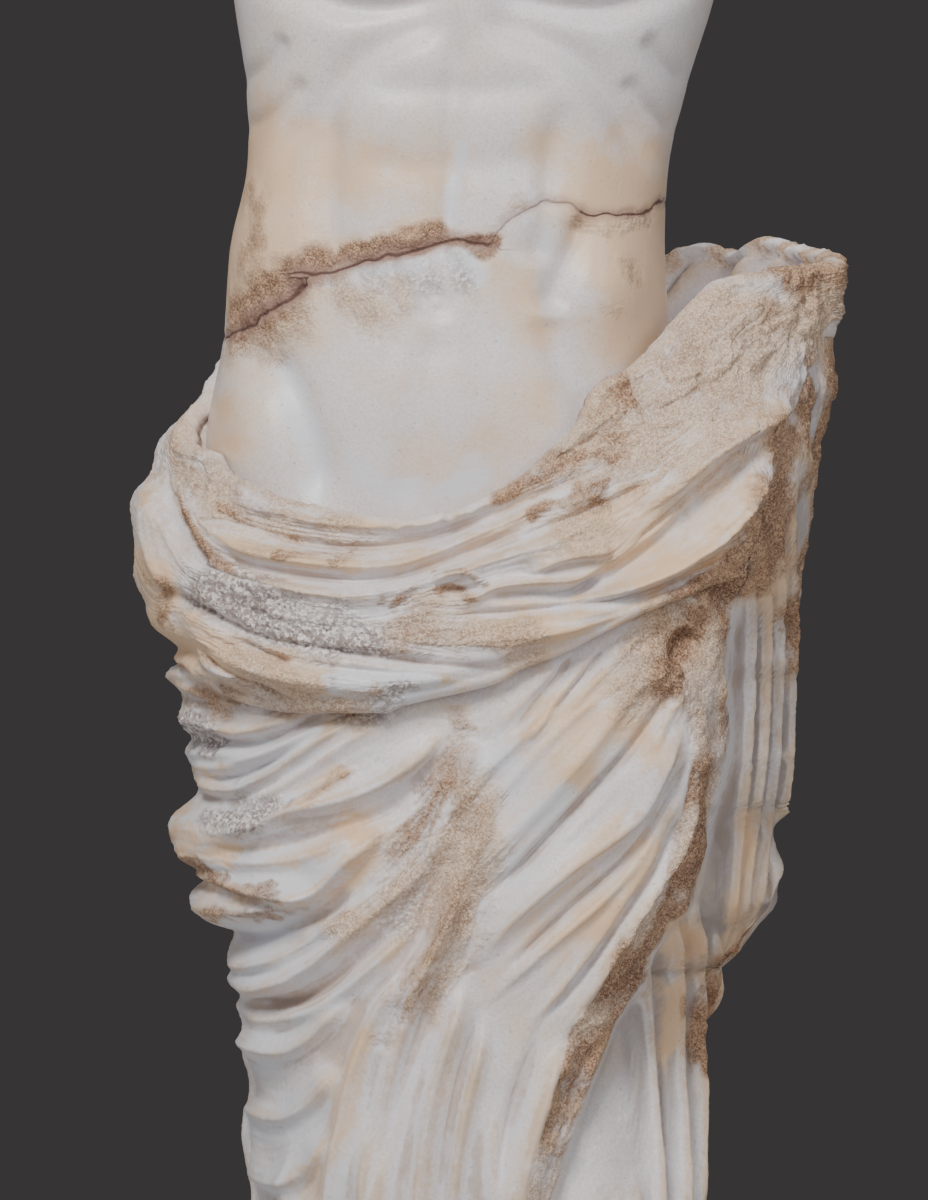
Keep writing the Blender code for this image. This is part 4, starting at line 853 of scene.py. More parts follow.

# Stains and wear of the cloth, with painted shade on the right thigh: kind, strength, reach, then points
# across the front.
CLOTH_PATCHES = [
    # Painted shade: a cool lavender laid over the right thigh.
    ("blue", 0.42, 46, [(-150, 900), (-110, 820), (-100, 720), (-110, 620)]),
    ("blue", 0.4, 24, [(20, 900), (60, 850), (20, 780)]),
    ("warm", 0.5, 20, [(60, 912), (100, 946), (130, 930)]),
    ("warm", 0.5, 16, [(40, 850), (84, 898), (120, 920)]),
    ("warm", 0.5, 14, [(34, 770), (80, 810), (120, 856)]),
    ("warm", 0.5, 14, [(-60, 1026), (0, 1040), (60, 1070)]),
    ("tan", 0.75, 17, [(-196, 1116), (-178, 1086), (-150, 1074), (-112, 1062), (-84, 1054)]),
    ("grey", 0.5, 12, [(-170, 1094), (-142, 1076)]),
    ("brown", 0.5, 5, [(-180, 1060), (-166, 1037), (-150, 1021)]),
    ("brown", 0.5, 4, [(-104, 1045), (-88, 1040), (-66, 1040), (-50, 1042)]),
    ("brown", 0.45, 3, [(-120, 1036), (-96, 1032), (-62, 1030)]),
    ("brown", 0.45, 3, [(-158, 1064), (-142, 1056), (-134, 1052)]),
    ("warm", 0.9, 12, [(-202, 1024), (-190, 1000), (-178, 978)]),
    ("brown", 0.5, 5, [(-196, 1012), (-184, 994)]),
    ("warm", 0.9, 18, [(-170, 976), (-142, 956), (-100, 946)]),
    ("tan", 0.6, 12, [(-150, 970), (-124, 956), (-100, 950)]),
    ("grey", 1.0, 14, [(-160, 1008), (-134, 998), (-104, 988), (-76, 982)]),
    ("grey", 0.75, 12, [(-76, 982), (-44, 978), (-12, 978)]),
    ("tan", 0.75, 13, [(-30, 980), (12, 982), (46, 978)]),
    ("warm", 0.6, 16, [(-10, 985), (40, 985), (80, 985)]),
    ("tan", 0.6, 9, [(-132, 944), (-92, 936), (-60, 936)]),
    ("grey", 0.6, 8, [(-130, 940), (-84, 934), (-36, 938)]),
    ("blue", 0.9, 10, [(-70, 950), (-46, 944), (-20, 950)]),
    ("brown", 0.95, 6, [(50, 1060), (66, 1065), (84, 1068), (106, 1074)]),
    ("brown", 0.6, 4, [(28, 1072), (54, 1084), (84, 1094), (112, 1104)]),
    ("tan", 0.7, 14, [(74, 1090), (100, 1104), (124, 1108)]),
    ("brown", 0.5, 10, [(106, 1118), (122, 1146)]),
    ("warm", 0.9, 16, [(96, 1052), (118, 1048), (126, 1062)]),
    ("tan", 0.5, 12, [(76, 1048), (96, 1046)]),
    ("brown", 0.7, 4, [(-52, 1006), (-44, 1005)]),
    ("brown", 0.7, 5, [(-34, 1001), (-26, 1004)]),
    ("brown", 0.6, 3, [(-12, 1018), (8, 1021), (20, 1018)]),
    ("brown", 0.6, 3, [(-6, 1006), (14, 1006)]),
    ("tan", 0.95, 32, [(130, 1112), (160, 1130), (190, 1152), (222, 1180), (240, 1208)]),
    ("tan", 0.9, 16, [(92, 1122), (116, 1144), (150, 1168), (186, 1202), (228, 1220)]),
    ("grey", 0.7, 14, [(150, 1124), (176, 1146), (196, 1172)]),
    ("brown", 0.9, 12, [(218, 1212), (236, 1222), (258, 1228)]),
    ("brown", 1.0, 15, [(240, 1144), (250, 1130), (256, 1150)]),
    ("blue", 1.0, 9, [(226, 1176), (230, 1160), (228, 1146)]),
    ("brown", 0.95, 8, [(256, 1120), (248, 1080), (242, 1040), (236, 1000), (236, 962)]),
    ("warm", 0.9, 10, [(128, 1012), (160, 1030), (184, 1050), (204, 1080)]),
    ("brown", 1.0, 11, [(224, 1112), (218, 1088), (210, 1064), (198, 1046)]),
    ("brown", 1.0, 12, [(206, 1040), (192, 1026), (172, 1014)]),
    ("tan", 1.0, 17, [(146, 992), (138, 968), (130, 944)]),
    ("brown", 0.8, 11, [(158, 990), (152, 966), (142, 944)]),
    ("brown", 1.4, 7, [(160, 988), (154, 974), (150, 960)]),
    ("warm", 0.7, 11, [(86, 914), (110, 930), (130, 900)]),
    ("brown", 0.5, 8, [(-170, 940), (-158, 937), (-146, 934)]),
    ("grey", 0.9, 8, [(-182, 919), (-162, 916)]),
    ("warm", 0.9, 9, [(-156, 912), (-138, 912)]),
    ("warm", 0.9, 10, [(-176, 890), (-156, 892), (-136, 898)]),
    ("brown", 0.5, 4, [(-180, 886), (-170, 880)]),
    ("grey", 0.9, 8, [(-150, 854), (-132, 862), (-120, 868)]),
    ("warm", 0.8, 9, [(-112, 866), (-90, 878), (-74, 886)]),
    ("brown", 0.35, 5, [(-110, 860), (-86, 877), (-62, 894)]),
    ("warm", 0.9, 10, [(-188, 852), (-178, 842)]),
    ("brown", 0.55, 4, [(-192, 842), (-182, 830), (-166, 820), (-146, 814), (-116, 809)]),
    ("warm", 1.0, 17, [(-150, 822), (-106, 820), (-80, 826), (-62, 842)]),
    ("brown", 0.4, 4, [(-180, 800), (-164, 792), (-148, 794), (-112, 800), (-94, 800)]),
    ("tan", 0.8, 8, [(-72, 786), (-54, 796), (-38, 812), (-26, 830)]),
    ("brown", 0.5, 9, [(-34, 838), (-16, 862), (0, 890), (14, 922)]),
    ("tan", 0.75, 16, [(10, 868), (8, 836), (-2, 800)]),
    ("brown", 0.3, 11, [(4, 812), (-10, 780), (-24, 750)]),
    ("brown", 0.45, 9, [(-10, 766), (-24, 742), (-44, 716)]),
    ("grey", 0.5, 18, [(-40, 806), (-22, 836), (-4, 850)]),
    ("tan", 0.6, 15, [(8, 800), (2, 772), (-6, 750)]),
    ("warm", 0.7, 12, [(-60, 714), (-86, 640), (-98, 560)]),
    ("brown", 0.9, 9, [(168, 732), (172, 716), (170, 700)]),
    ("warm", 0.8, 9, [(150, 790), (152, 740), (150, 700)]),
    ("warm", 0.7, 8, [(196, 850), (196, 800), (190, 770)]),
    ("brown", 0.8, 7, [(206, 770), (196, 762), (186, 758)]),
    ("warm", 0.7, 10, [(66, 760), (96, 800), (122, 840)]),
    ("warm", 0.6, 9, [(16, 742), (50, 776), (84, 806)]),
]


def drape_distance(angle, height):
    """Distance of the plain cloth from the axis, from the DRAPE table."""
    degrees = np.arange(-180, 181, 1.0)
    rows = []
    for level, values in sorted(DRAPE):
        keys = list(zip(DRAPE_ANGLES, values))
        wrapped = [(a - 360, v) for a, v in keys[-2:]] + keys + [(a + 360, v) for a, v in keys[:2]]
        rows.append(through(wrapped, degrees))
    rows = np.array(rows)
    levels = np.array(sorted(level for level, values in DRAPE), float)
    slope = slopes(levels, rows)
    z = np.clip(height, levels[0], levels[-1])
    i = np.clip(np.searchsorted(levels, z) - 1, 0, len(levels) - 2)
    step = levels[i + 1] - levels[i]
    s = (z - levels[i]) / step
    place = np.clip(angle + 180, 0, 359.999)
    j = place.astype(int)
    share = place - j

    def pick(values, row):
        return values[row, j] * (1 - share) + values[row, j + 1] * share

    lower = (2 * s**3 - 3 * s**2 + 1) * pick(rows, i) + (s**3 - 2 * s**2 + s) * step * pick(slope, i)
    upper = (3 * s**2 - 2 * s**3) * pick(rows, i + 1) + (s**3 - s**2) * step * pick(slope, i + 1)
    return lower + upper


def in_front(angle):
    """1 where the cloth faces the front and 0 on the back."""
    return 1 - ramp(84, 100, np.abs(angle))


def skirt_relief(angle, x, z):
    """Height of the skirt's folds and of its broken edge above the plain cloth."""
    facing = in_front(angle)
    hanging = ramp(-2, 5, x - through(BREAK_OUTER, z))
    relief = np.zeros(x.shape)
    for folds, depth in ((THIGH_FOLDS, 1), (PANEL_FOLDS, 0.78), (RUNNING_FOLDS, 1)):
        for height, above, below, line in folds:
            relief += facing * fold(x, z, line, depth * height, above, below) * (1 - hanging)
    for height, above, below, line in HANGING_FOLDS:
        relief += (1 - ramp(92, 112, np.abs(angle))) * fold(x, z, line, height, above, below) * hanging
    for swag in range(SWAGS):
        level = SWAG_TOP - SWAG_SPACING * swag
        line = [(-150, level + 2), (-104, level - 2), (-62 - 5 * swag, level + 34)]
        relief += facing * fold(x, z, line, 10 - swag, 9, 5)
    relief += facing * KNEE[4] * np.exp(-((x - KNEE[0]) / KNEE[2])**2 - ((z - KNEE[1]) / KNEE[3])**2)
    for index, (upper, lower, height) in enumerate(SHIN_FOLDS):
        top = SHIN_TOP + 75 * math.sin(2.4 * index)
        line = [(upper, top), ((upper + lower) / 2 - 4, 380), (lower, CLOTH_FOOT)]
        relief += facing * fold(x, z, line, height, 9, 8, 0.12)
    relief -= 12 * facing * (1 - ramp(HEM - 6, HEM + 2, z))
    slant = z / BACK_SWAG + x / 150 + 0.5 * np.sin(x / 60)
    swags = np.abs(np.sin(slant * math.pi))**1.6 * 9 - 4
    turn = np.radians(angle)
    sway = np.sin(z / 170) + 1.2 * np.sin(2 * turn + 0.7) + 0.6 * np.sin(5 * turn + z / 260)
    pleats = np.abs(np.cos(turn * BACK_PLEATS + sway))**1.5 * (11 + 4 * np.sin(3 * turn)) - 5
    hanging = ramp(84, 96, angle) * (1 - ramp(132, 158, angle)) * (1 - ramp(1150, 1220, z))
    upright = np.maximum(1 - ramp(640, 760, z), hanging)
    return relief + (1 - facing) * (swags * (1 - upright) + pleats * upright)


def outline_share():
    """How much wider the outline is than the plain cloth, at each height, on both sides."""
    levels = np.arange(CLOTH_FOOT, CLOTH_TOP, 3.0)
    angle, z = np.meshgrid(np.arange(-180, 180, 3.0), levels)
    x = drape_distance(angle, z) * np.sin(np.radians(angle))
    bottom = roll_bottom(angle, x)
    thick = through(ROLL_THICKNESS, x) * ramp(-3, 9, z - bottom)
    x = x + (thick + skirt_relief(angle, x, z)) * np.sin(np.radians(angle))
    right = through(OUTLINE_RIGHT_SIDE, levels) / np.maximum(-x, 0).max(axis=1)
    left = through(OUTLINE_LEFT_SIDE, levels) / np.maximum(x, 0).max(axis=1)
    return levels, right, left


def roll_bottom(angle, x):
    """Height of the roll's lower edge."""
    facing = in_front(angle)
    return facing * through(ROLL_BOTTOM_FRONT, x) + (1 - facing) * through(ROLL_BOTTOM_BACK, x)


def roll_top(angle, x):
    """Height of the roll's upper edge."""
    share = ramp(66, 84, np.abs(angle))
    return through(ROLL_TOP_FRONT, x) * (1 - share) + through(ROLL_TOP_ROUND, angle) * share


def drawn_out(x, angle, z):
    """Fits the sides to the outline seen from in front."""
    levels, right, left = share_table
    share = np.where(x < 0, np.interp(z, levels, right), np.interp(z, levels, left))
    return x * (1 + (share - 1) * np.sin(np.radians(angle))**2)


def placed(angle, z, relief, drop=0):
    """Points of the cloth for its relief above the plain cloth, set back by the drop."""
    plain = drape_distance(angle, z)
    sine, cosine = np.sin(np.radians(angle)), np.cos(np.radians(angle))
    facing = 1 - ramp(84, 112, np.abs(angle))
    x = drawn_out((plain + relief) * sine, angle, z)
    y = -plain * cosine - relief * (cosine + RELIEF_FORWARD * facing * (1 - cosine)) + drop
    return np.stack([x, y, z], axis=-1)


def break_drop(angle, x, z):
    """How far the cloth lies back at the broken edge and behind it."""
    edge = through(BREAK_OUTER, z)
    band = BREAK_LIP * ramp(0, 1, (x - edge) / through(BREAK_WIDTH, z) + 1)**2
    behind = band + (1 - BREAK_LIP) * ramp(-2, 4, x - edge)
    return in_front(angle) * through(BREAK_DEPTH, z) * behind * (1 - ramp(74, 104, np.abs(angle)))


def seen_from_front(angle, z, thickness=0.0):
    """Sideways place of the cloth at an angle and a height."""
    plain = drape_distance(angle, z) + thickness
    return drawn_out(plain * np.sin(np.radians(angle)), angle, z)


def soft(values, reach):
    """The same grid of values, blurred."""
    for axis in (0, 1):
        for _ in range(2):
            padded = np.pad(values, [(reach, reach) if k == axis else (0, 0) for k in (0, 1)], "edge")
            total = np.cumsum(padded, axis=axis)
            upper = np.take(total, range(2 * reach, total.shape[axis]), axis=axis)
            lower = np.take(total, range(0, total.shape[axis] - 2 * reach), axis=axis)
            values = (upper - lower) / (2 * reach)
    return values


def raised(folds):
    """How far each place stands out (1) or lies back (-1) among the folds round it."""
    return np.clip(0.16 * (folds - soft(folds, 10)) + 0.5 * (folds - soft(folds, 3)), -1, 1)


def combed(values, folds, across_step, up_step, strokes):
    """A grid of values smeared along the folds, the way rubbing and rain mark the stone."""
    rise_across = np.gradient(folds, axis=1) / across_step
    rise_up = np.gradient(folds, axis=0) / up_step
    turn = 0.5 * np.arctan2(soft(2 * rise_across * rise_up, 5), soft(rise_across**2 - rise_up**2, 5))
    rows, columns = np.indices(folds.shape)
    steps = np.stack([np.cos(turn) / up_step, -np.sin(turn) / across_step]) * STROKE_STEP
    total = values.copy()
    for way in (1, -1):
        place = np.stack([rows, columns]).astype(float)
        before = steps * way
        for _ in range(strokes):
            place += before
            row = np.clip(np.rint(place[0]).astype(int), 0, folds.shape[0] - 1)
            column = np.rint(place[1]).astype(int) % folds.shape[1]
            total += values[row, column]
            ahead = steps[:, row, column]
            before = ahead * np.where((ahead * before).sum(axis=0) < 0, -1, 1)
    return total / total.std()


def streaks(folds, across_step, up_step, seed):
    """Fine and broad streaks along the folds, about -1 to 1."""
    noise = np.random.default_rng(seed).random((2, *folds.shape)) - 0.5
    fine = combed(noise[0], folds, across_step, up_step, 12)
    broad = combed(soft(noise[1], 3), folds, across_step, up_step, 26)
    return np.clip(fine * 0.22 + broad * 0.4, -1.2, 1.2)


def cloth_marks(points, angle, ridge):
    """Stains of the cloth, with plain tan patches on the back, and its raised folds."""
    points = points.reshape(-1, 3)
    x, z = ragged(points, 8, 71)
    patchy = 0.6 + 0.8 * grain(points, 18, 76)
    facing = 1 - ramp(88, 112, np.abs(angle.ravel()))
    marks = stained(CLOTH_PATCHES, x, z, facing, 1.15 * patchy, 1.2, 0.6, 2.4)
    behind = (1 - facing) * ramp(0.62, 0.8, grain(points, 70, 21))
    marks["tan"] = np.maximum(marks["tan"], behind * 0.7)
    marks["ridge"] = ridge.ravel() * (0.45 + 0.55 * facing)
    return marks


def strip_faces(rows, columns, closed):
    """Faces of a grid that is joined round its columns, and over its rows when closed."""
    i, j = np.meshgrid(np.arange(rows if closed else rows - 1), np.arange(columns), indexing="ij")
    k, n = (j + 1) % columns, (i + 1) % rows
    quads = np.stack([i * columns + j, i * columns + k, n * columns + k, n * columns + j], axis=-1)
    return quads.reshape(-1, 4).tolist()


share_table = outline_share()

# The skirt is one skin from inside the base to inside the roll.
angles = np.concatenate([np.arange(-100, 44, 0.74), np.arange(44, 98, 0.46), np.arange(98, 150, 1.8),
                         np.arange(150, 260, 3.2)])
across_step = np.gradient(np.radians(angles)) * 175
angles = np.where(angles > 180, angles - 360, angles)
top = np.full(angles.shape, 1000.0)
for _ in range(14):
    top = roll_bottom(angles, seen_from_front(angles, top, ROLL_EDGE_OUT))
plain_share = np.arange(PLAIN_ROWS)[:, None] * PLAIN_ROW_SHARE * np.ones(angles.shape)
detail_share = np.linspace(0, 1, DETAIL_ROWS)[:, None]
z = np.concatenate([CLOTH_FOOT + plain_share * (DETAIL_FOOT - CLOTH_FOOT),
                    DETAIL_FOOT + detail_share * (top + UNDER_ROLL - DETAIL_FOOT)])
angle = np.broadcast_to(angles, z.shape)
x = seen_from_front(angle, z)
relief = skirt_relief(angle, x, z)
edge_away = np.abs(x - through(BREAK_OUTER, z) + through(BREAK_WIDTH, z) / 2)
in_break = (1 - ramp(0.75, 1.1, edge_away / through(BREAK_WIDTH, z) * 2)) * ramp(560, 700, z)
in_break *= (1 - ramp(76, 90, np.abs(angle))) * (1 - ramp(1040, 1100, z))
drop = break_drop(angle, x, z)
points = placed(angle, z, relief, drop)
marks = cloth_marks(points, angle, raised(relief))
patchy = 0.5 + 0.9 * grain(points.reshape(-1, 3), 26, 39)
marks["tan"] = np.maximum(marks["tan"], in_break.ravel())
marks["brown"] = np.maximum(marks["brown"], in_break.ravel() * ramp(0.6, 1.1, patchy))
# Painted shade: the hanging folds behind the broken edge get a dark colour in their hollows.
sheltered = ramp(1, 7, x - through(BREAK_OUTER, z)) * (1 - ramp(96, 112, np.abs(angle)))
marks["dust"] = (sheltered * ramp(600, 700, z)).ravel()
wear = np.maximum(np.maximum(marks["tan"], marks["brown"]), marks["grey"]).reshape(z.shape)
flat = points.reshape(-1, 3)
chips = ((grain(flat, 5, 31) - 0.5) * 3.2 + (grain(flat, 13, 33) - 0.5) * 4).reshape(z.shape)
relief += wear * (chips - 0.8) + (grain(flat, 30, 35) - 0.5).reshape(z.shape) * 2.4
relief += in_break * (grain(flat, 20, 36) - 0.5).reshape(z.shape) * 10
streak = streaks(relief, across_step, np.gradient(z, axis=0), 37) * ramp(480, 640, z)
marks["streak"] = streak.ravel()
relief += streak * 1.2
points = placed(angle, z, relief, drop)
flat = np.vstack([points.reshape(-1, 3), [[0, 0, CLOTH_FOOT]], [[0, 0, 980]]])
columns = len(angles)
faces = strip_faces(len(z), columns, False)
last = (len(z) - 1) * columns
for j in range(columns):
    k = (j + 1) % columns
    faces.append((k, j, len(flat) - 2))
    faces.append((last + j, last + k, len(flat) - 1))
marks = {kind: np.append(values, [0, 0]) for kind, values in marks.items()}
skirt = finished("skirt", flat, faces, marks)
skirt.data.materials.append(marble("marble_skirt", polish=0.42, dusting=0.6, glow=0.08))
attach(skirt, "root")
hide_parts("draped_figure")

# The roll is a closed band: lip, outer face, top lip, inner wall and floor of the pocket.
angles = np.concatenate([np.arange(-100, 104, 0.52), np.arange(104, 150, 0.6), np.arange(150, 260, 2.4)])
across_step = np.gradient(np.radians(angles)) * 190
angles = np.where(angles > 180, angles - 360, angles)
bottom = np.full(angles.shape, 1000.0)
top = np.full(angles.shape, 1120.0)
for _ in range(16):
    bottom = roll_bottom(angles, seen_from_front(angles, bottom, ROLL_EDGE_OUT))
    top = roll_top(angles, seen_from_front(angles, top, ROLL_EDGE_OUT))
v = np.linspace(0, 1, ROLL_ROWS)[:, None]
z = bottom + LIP + v * (top - LIP - bottom - 5)
angle = np.broadcast_to(angles, z.shape)
x = seen_from_front(angle, z, ROLL_MIDDLE_OUT)
thick = through(ROLL_THICKNESS, x) * (0.62 + 0.38 * ramp(0, 0.12, v)) * (1 - 0.5 * ramp(0.55, 1, v))
facing = in_front(angle)
folds = np.zeros(z.shape)
for height, above, below, line in ROLL_FOLDS:
    folds += facing * fold(x, z, line, height, above, below)
twist = np.sin(v * 5.2 * math.pi + np.radians(angle) * 2 + 0.6)
folds += (1 - facing) * twist * 5 * (1 - ramp(84, 96, angle) * (1 - ramp(135, 160, angle)))
drop = 0.35 * break_drop(angle, x, z)
relief = thick + folds
outer = placed(angle, z, relief, drop)
marks = cloth_marks(outer, angle, raised(folds))
wear = np.maximum(np.maximum(marks["tan"], marks["brown"]), marks["grey"]).reshape(z.shape)
flat = outer.reshape(-1, 3)
chips = ((grain(flat, 4.5, 41) - 0.5) * 3.2 + (grain(flat, 12, 43) - 0.5) * 4).reshape(z.shape)
relief += wear * (chips - 0.6) + (grain(flat, 26, 45) - 0.5).reshape(z.shape) * 2.4
streak = streaks(folds, across_step, np.gradient(z, axis=0), 47)
marks["streak"] = streak.ravel()
relief += streak * 1.2
outer = placed(angle, z, relief, drop)

lip_rows = []
for turn in np.radians(np.linspace(200, 344, 7)):
    low = bottom + LIP + LIP * np.sin(turn)
    height_here = relief[0] * (0.5 + 0.5 * np.cos(turn))
    lip_rows.append(placed(angles, low, height_here))
behind_break = break_drop(angles, seen_from_front(angles, bottom), bottom)
start = placed(angles, bottom + LIP + 8, np.full(angles.shape, -34.0), behind_break)
reach = np.hypot(outer[-1, :, 0], outer[-1, :, 1])
flank = ramp(84, 96, angles) * (1 - ramp(132, 140, angles))


def pleats(depth):
    """Pleats of the gathered cloth inside the pocket, leaning over as they go down."""
    turn = (angles - 114 - 20 * depth) * 2 * math.pi
    return flank * (np.cos(turn / POCKET_PLEAT) + 0.4 * np.cos(turn / POCKET_PLEAT * 0.43 + 1))


floor_depth = through(POCKET_FLOOR, angles)
inner_rows, inner_ridge = [], []
for inward, down in ((4, -3.5), (9, -4.6), (14, -3.6), (18, -1)):
    scale = 1 - inward / reach
    inner_rows.append(np.column_stack([outer[-1, :, 0] * scale, outer[-1, :, 1] * scale,
                                       outer[-1, :, 2] - down]))
    inner_ridge.append(0.3 + 0.5 * pleats(0))
for k in np.linspace(0.04, 1, 34):
    pleat = pleats(k) * (1 - 0.5 * k) * ramp(0, 0.12, k)
    scale = 1 - (RIM_WALL - 7 + 7 * pleat + 14 * k) / reach
    inner_rows.append(np.column_stack([outer[-1, :, 0] * scale, outer[-1, :, 1] * scale,
                                       outer[-1, :, 2] - 1 - floor_depth * k]))
    inner_ridge.append(0.25 + pleat * 0.9)
for k, down in ((0.8, 0), (0.6, 0), (0.5, 2), (0.5, 60)):
    scale_in = scale * k
    depth = 1 + floor_depth + down
    inner_rows.append(np.column_stack([outer[-1, :, 0] * scale_in, outer[-1, :, 1] * scale_in,
                                       outer[-1, :, 2] - depth]))
    inner_ridge.append(-0.8 + 0 * pleat)
inner_rows.append(placed(angles, bottom + LIP + 14, np.full(angles.shape, -60.0)))
inner_ridge.append(-0.8 + 0 * pleat)
before = 1 + len(lip_rows)
band = np.array([start] + lip_rows + list(outer) + inner_rows)
zeros = np.zeros(len(inner_rows) * len(angles))
whole = {}
for kind, values in marks.items():
    grid = values.reshape(z.shape)
    lead = np.repeat(grid[:1], before, axis=0).ravel()
    tail = np.array(inner_ridge).ravel() if kind == "ridge" else zeros
    whole[kind] = np.concatenate([lead, values, tail])
first_lip = before + len(outer)
chipped = grain(band.reshape(-1, 3), 5, 52).reshape(band.shape[:2]) - 0.5
chipped *= (1 - ramp(1, 7, np.abs(np.arange(len(band)) - first_lip)))[:, None]
band[:, :, 2] += chipped * 4
band[:, :, :2] *= (1 + chipped * 0.016)[:, :, None]
band_points = band.reshape(-1, 3)
top_wear = np.zeros(band.shape[:2])
lump = ramp(-0.6, 0.9, pleats(0)) * ramp(86, 96, angles) * (1 - ramp(134, 142, angles))
for row in range(first_lip - 12, first_lip + 8):
    top_wear[row] = lump * ramp(-12, -2, row - first_lip) * (1 - ramp(2, 8, row - first_lip))
patchy = 0.5 + 0.8 * grain(band_points, 14, 49)
whole["tan"] = np.maximum(whole["tan"], top_wear.ravel() * patchy)
whole["brown"] = np.maximum(whole["brown"], 0.75 * top_wear.ravel() * (1.4 - patchy))
whole["warm"] = np.maximum(whole["warm"], 0.8 * top_wear.ravel())
for kind in STAINS:
    grid = whole[kind].reshape(band.shape[:2])
    for row in range(4):
        fading = grid[first_lip - 1] * (1 - 0.2 * row)
        grid[first_lip + row] = np.maximum(grid[first_lip + row], fading)
    whole[kind] = grid.ravel()
hip_roll = finished("hip_roll", band_points, strip_faces(len(band), len(angles), True), whole)
hip_roll.data.materials.append(marble("marble_hip_roll", polish=0.42, dusting=0.7, glow=0.08))
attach(hip_roll, "root")
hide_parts("draped_figure")

# Feet and base
# The feet and the low base come out of the same block. The base was left plain, with its
# edges worn round by time, and the toes just show under the hem.
BASE_HALF_WIDTH = 235
BASE_HALF_DEPTH = 190
BASE_HEIGHT = 72
BASE_CENTRE = (25, -22)
BASE_SQUARENESS = 4.5
BASE_VOXEL = 4.2
BASE_SMOOTHING = 4
FEET = [(-88, 20, -14, 250), (112, -18, 24, 250)]
FOOT_SECTIONS = [
    (0.00, 26, 52), (0.10, 34, 66), (0.35, 36, 84), (0.55, 44, 58), (0.74, 49, 36), (0.84, 48, 28),
]
TOES = [(-36, 0.97, 14), (-15, 1.0, 10), (2, 0.97, 9.5), (18, 0.93, 9), (33, 0.87, 8.5)]

bm = bmesh.new()
turn = np.linspace(-math.pi, math.pi, 160, endpoint=False)
sine, cosine = np.sin(turn), np.cos(turn)
distance = (np.abs(sine / BASE_HALF_WIDTH)**BASE_SQUARENESS
            + np.abs(cosine / BASE_HALF_DEPTH)**BASE_SQUARENESS)**(-1 / BASE_SQUARENESS)
distance *= 1 + 0.012 * np.sin(turn * 5) + 0.008 * np.sin(turn * 11 + 1)
rings = []
for level, inset in ((-10, 0), (0, 0), (20, 1), (40, 0), (BASE_HEIGHT - 8, 2), (BASE_HEIGHT, 9)):
    reach = distance - inset
    rings.append(np.column_stack([BASE_CENTRE[0] + reach * sine, BASE_CENTRE[1] - reach * cosine,
                                  np.full(turn.shape, float(level))]))
add_rings(bm, rings)
for heel_x, heel_y, outward, length in FEET:
    heading = math.radians(outward)
    ahead = np.array([math.sin(heading), -math.cos(heading), 0.0])
    across = np.array([math.cos(heading), math.sin(heading), 0.0]) * (-1 if heel_x > 0 else 1)
    heel = np.array([heel_x, heel_y, BASE_HEIGHT])
    add_rings(bm, limb(heel, ahead, length, FOOT_SECTIONS, BASE_HEIGHT - 6))
    for offset, reach, radius in TOES:
        root = heel - across * offset + ahead * length * (reach - 0.24) + np.array([0, 0, radius * 1.2])
        tip = [(0, radius * 0.8, radius), (0.5, radius, radius), (0.8, radius * 1.05, radius * 0.9),
               (0.95, radius * 0.8, radius * 0.7), (1.0, radius * 0.4, radius * 0.35)]
        add_rings(bm, limb(root, ahead + np.array([0, 0, -0.14]), length * 0.24, tip))
points, normals, faces = remeshed(bm, BASE_VOXEL, BASE_SMOOTHING)
points[:, 2] = np.maximum(points[:, 2], 0)
on_base = 1 - ramp(BASE_HEIGHT - 2, BASE_HEIGHT + 6, points[:, 2])
lift = on_base * ((grain(points, 40, 51) - 0.5) * 6 + (grain(points, 11, 53) - 0.5) * 3)
lift *= ramp(2, 12, points[:, 2])
marks = {kind: np.zeros(len(points)) for kind in STAINS}
marks["tan"] = on_base * ramp(0.45, 0.65, grain(points, 60, 55)) * 0.9
marks["grey"] = on_base * ramp(0.5, 0.7, grain(points, 80, 57)) * 0.6
marks["brown"] = np.exp(-((points[:, 2] - BASE_HEIGHT) / 7)**2) * ramp(0.4, 0.7, grain(points, 50, 59)) * 0.6
marks["ridge"] = np.clip(lift / 4, -1, 1)
feet_and_base = finished("feet_and_base", points + normals * lift[:, None], faces, marks)
feet_and_base.data.materials.append(marble("marble_feet_and_base", polish=0.7, dusting=0.4, glow=0.0))
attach(feet_and_base, "root")
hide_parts("draped_figure")

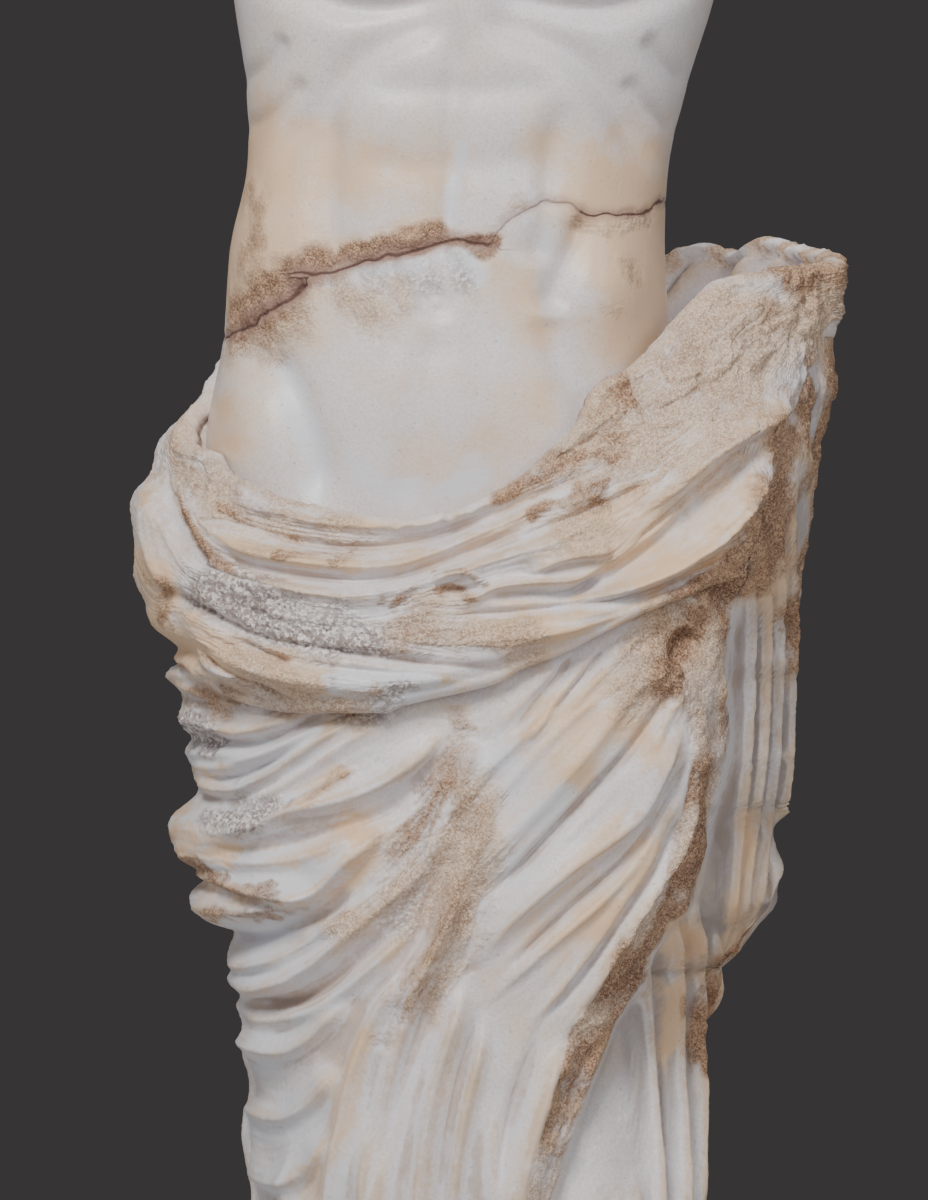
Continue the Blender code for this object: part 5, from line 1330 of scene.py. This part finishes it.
# Studio
# A pale floor, a plain grey backdrop and soft lights, with the main light high in front.
bpy.ops.mesh.primitive_plane_add(size=6.0, location=(0, 0, 0))
floor = bpy.context.object
floor.name = "studio_floor"
paper = bpy.data.materials.new("pale_paper")
paper.use_nodes = True
paper.node_tree.nodes["Principled BSDF"].inputs["Base Color"].default_value = (0.5, 0.49, 0.48, 1)
paper.node_tree.nodes["Principled BSDF"].inputs["Roughness"].default_value = 0.9
floor.data.materials.append(paper)
floor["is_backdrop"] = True

world = bpy.data.worlds.new("studio")
bpy.context.scene.world = world
world.use_nodes = True
nodes, links = world.node_tree.nodes, world.node_tree.links
soft_light = nodes["Background"]
soft_light.inputs["Color"].default_value = (0.95, 0.97, 1.0, 1)
soft_light.inputs["Strength"].default_value = 0.12
backdrop = nodes.new("ShaderNodeBackground")
backdrop.inputs["Color"].default_value = (0.045, 0.042, 0.043, 1)
backdrop.inputs["Strength"].default_value = 1.0
either = nodes.new("ShaderNodeMixShader")
seen = nodes.new("ShaderNodeLightPath")
links.new(seen.outputs["Is Camera Ray"], either.inputs["Fac"])
links.new(soft_light.outputs["Background"], either.inputs[1])
links.new(backdrop.outputs["Background"], either.inputs[2])
links.new(either.outputs["Shader"], nodes["World Output"].inputs["Surface"])

for name, place, size, power, colour in (
        ("key", (-0.75, -2.6, 3.2), 1.1, 116, (1.0, 0.985, 0.96)),
        ("fill", (1.8, -2.7, 2.3), 1.6, 50, (0.97, 0.985, 1.0)),
        ("top", (0.2, 0.5, 3.3), 1.4, 22, (1.0, 1.0, 1.0)),
        ("left", (-2.6, -0.8, 1.6), 1.5, 14, (1.0, 0.99, 0.97))):
    lamp = bpy.data.lights.new(name, "AREA")
    lamp.size = size
    lamp.energy = power
    lamp.color = colour
    holder = bpy.data.objects.new(name, lamp)
    holder.location = place
    holder.rotation_euler = (Vector((0, 0, 1.0)) - Vector(place)).to_track_quat("-Z", "Y").to_euler()
    bpy.context.scene.collection.objects.link(holder)

# Camera
# It stands five metres in front at navel height and takes in the middle of the figure.
lens = bpy.data.cameras.new("front")
lens.sensor_width = 36
lens.lens = 221.85
camera = bpy.data.objects.new("front", lens)
camera.location = (0.0093, -5.0, 1.0033)
camera.rotation_euler = (math.pi / 2, 0, 0)
bpy.context.scene.collection.objects.link(camera)
bpy.context.scene.camera = camera

low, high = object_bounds()
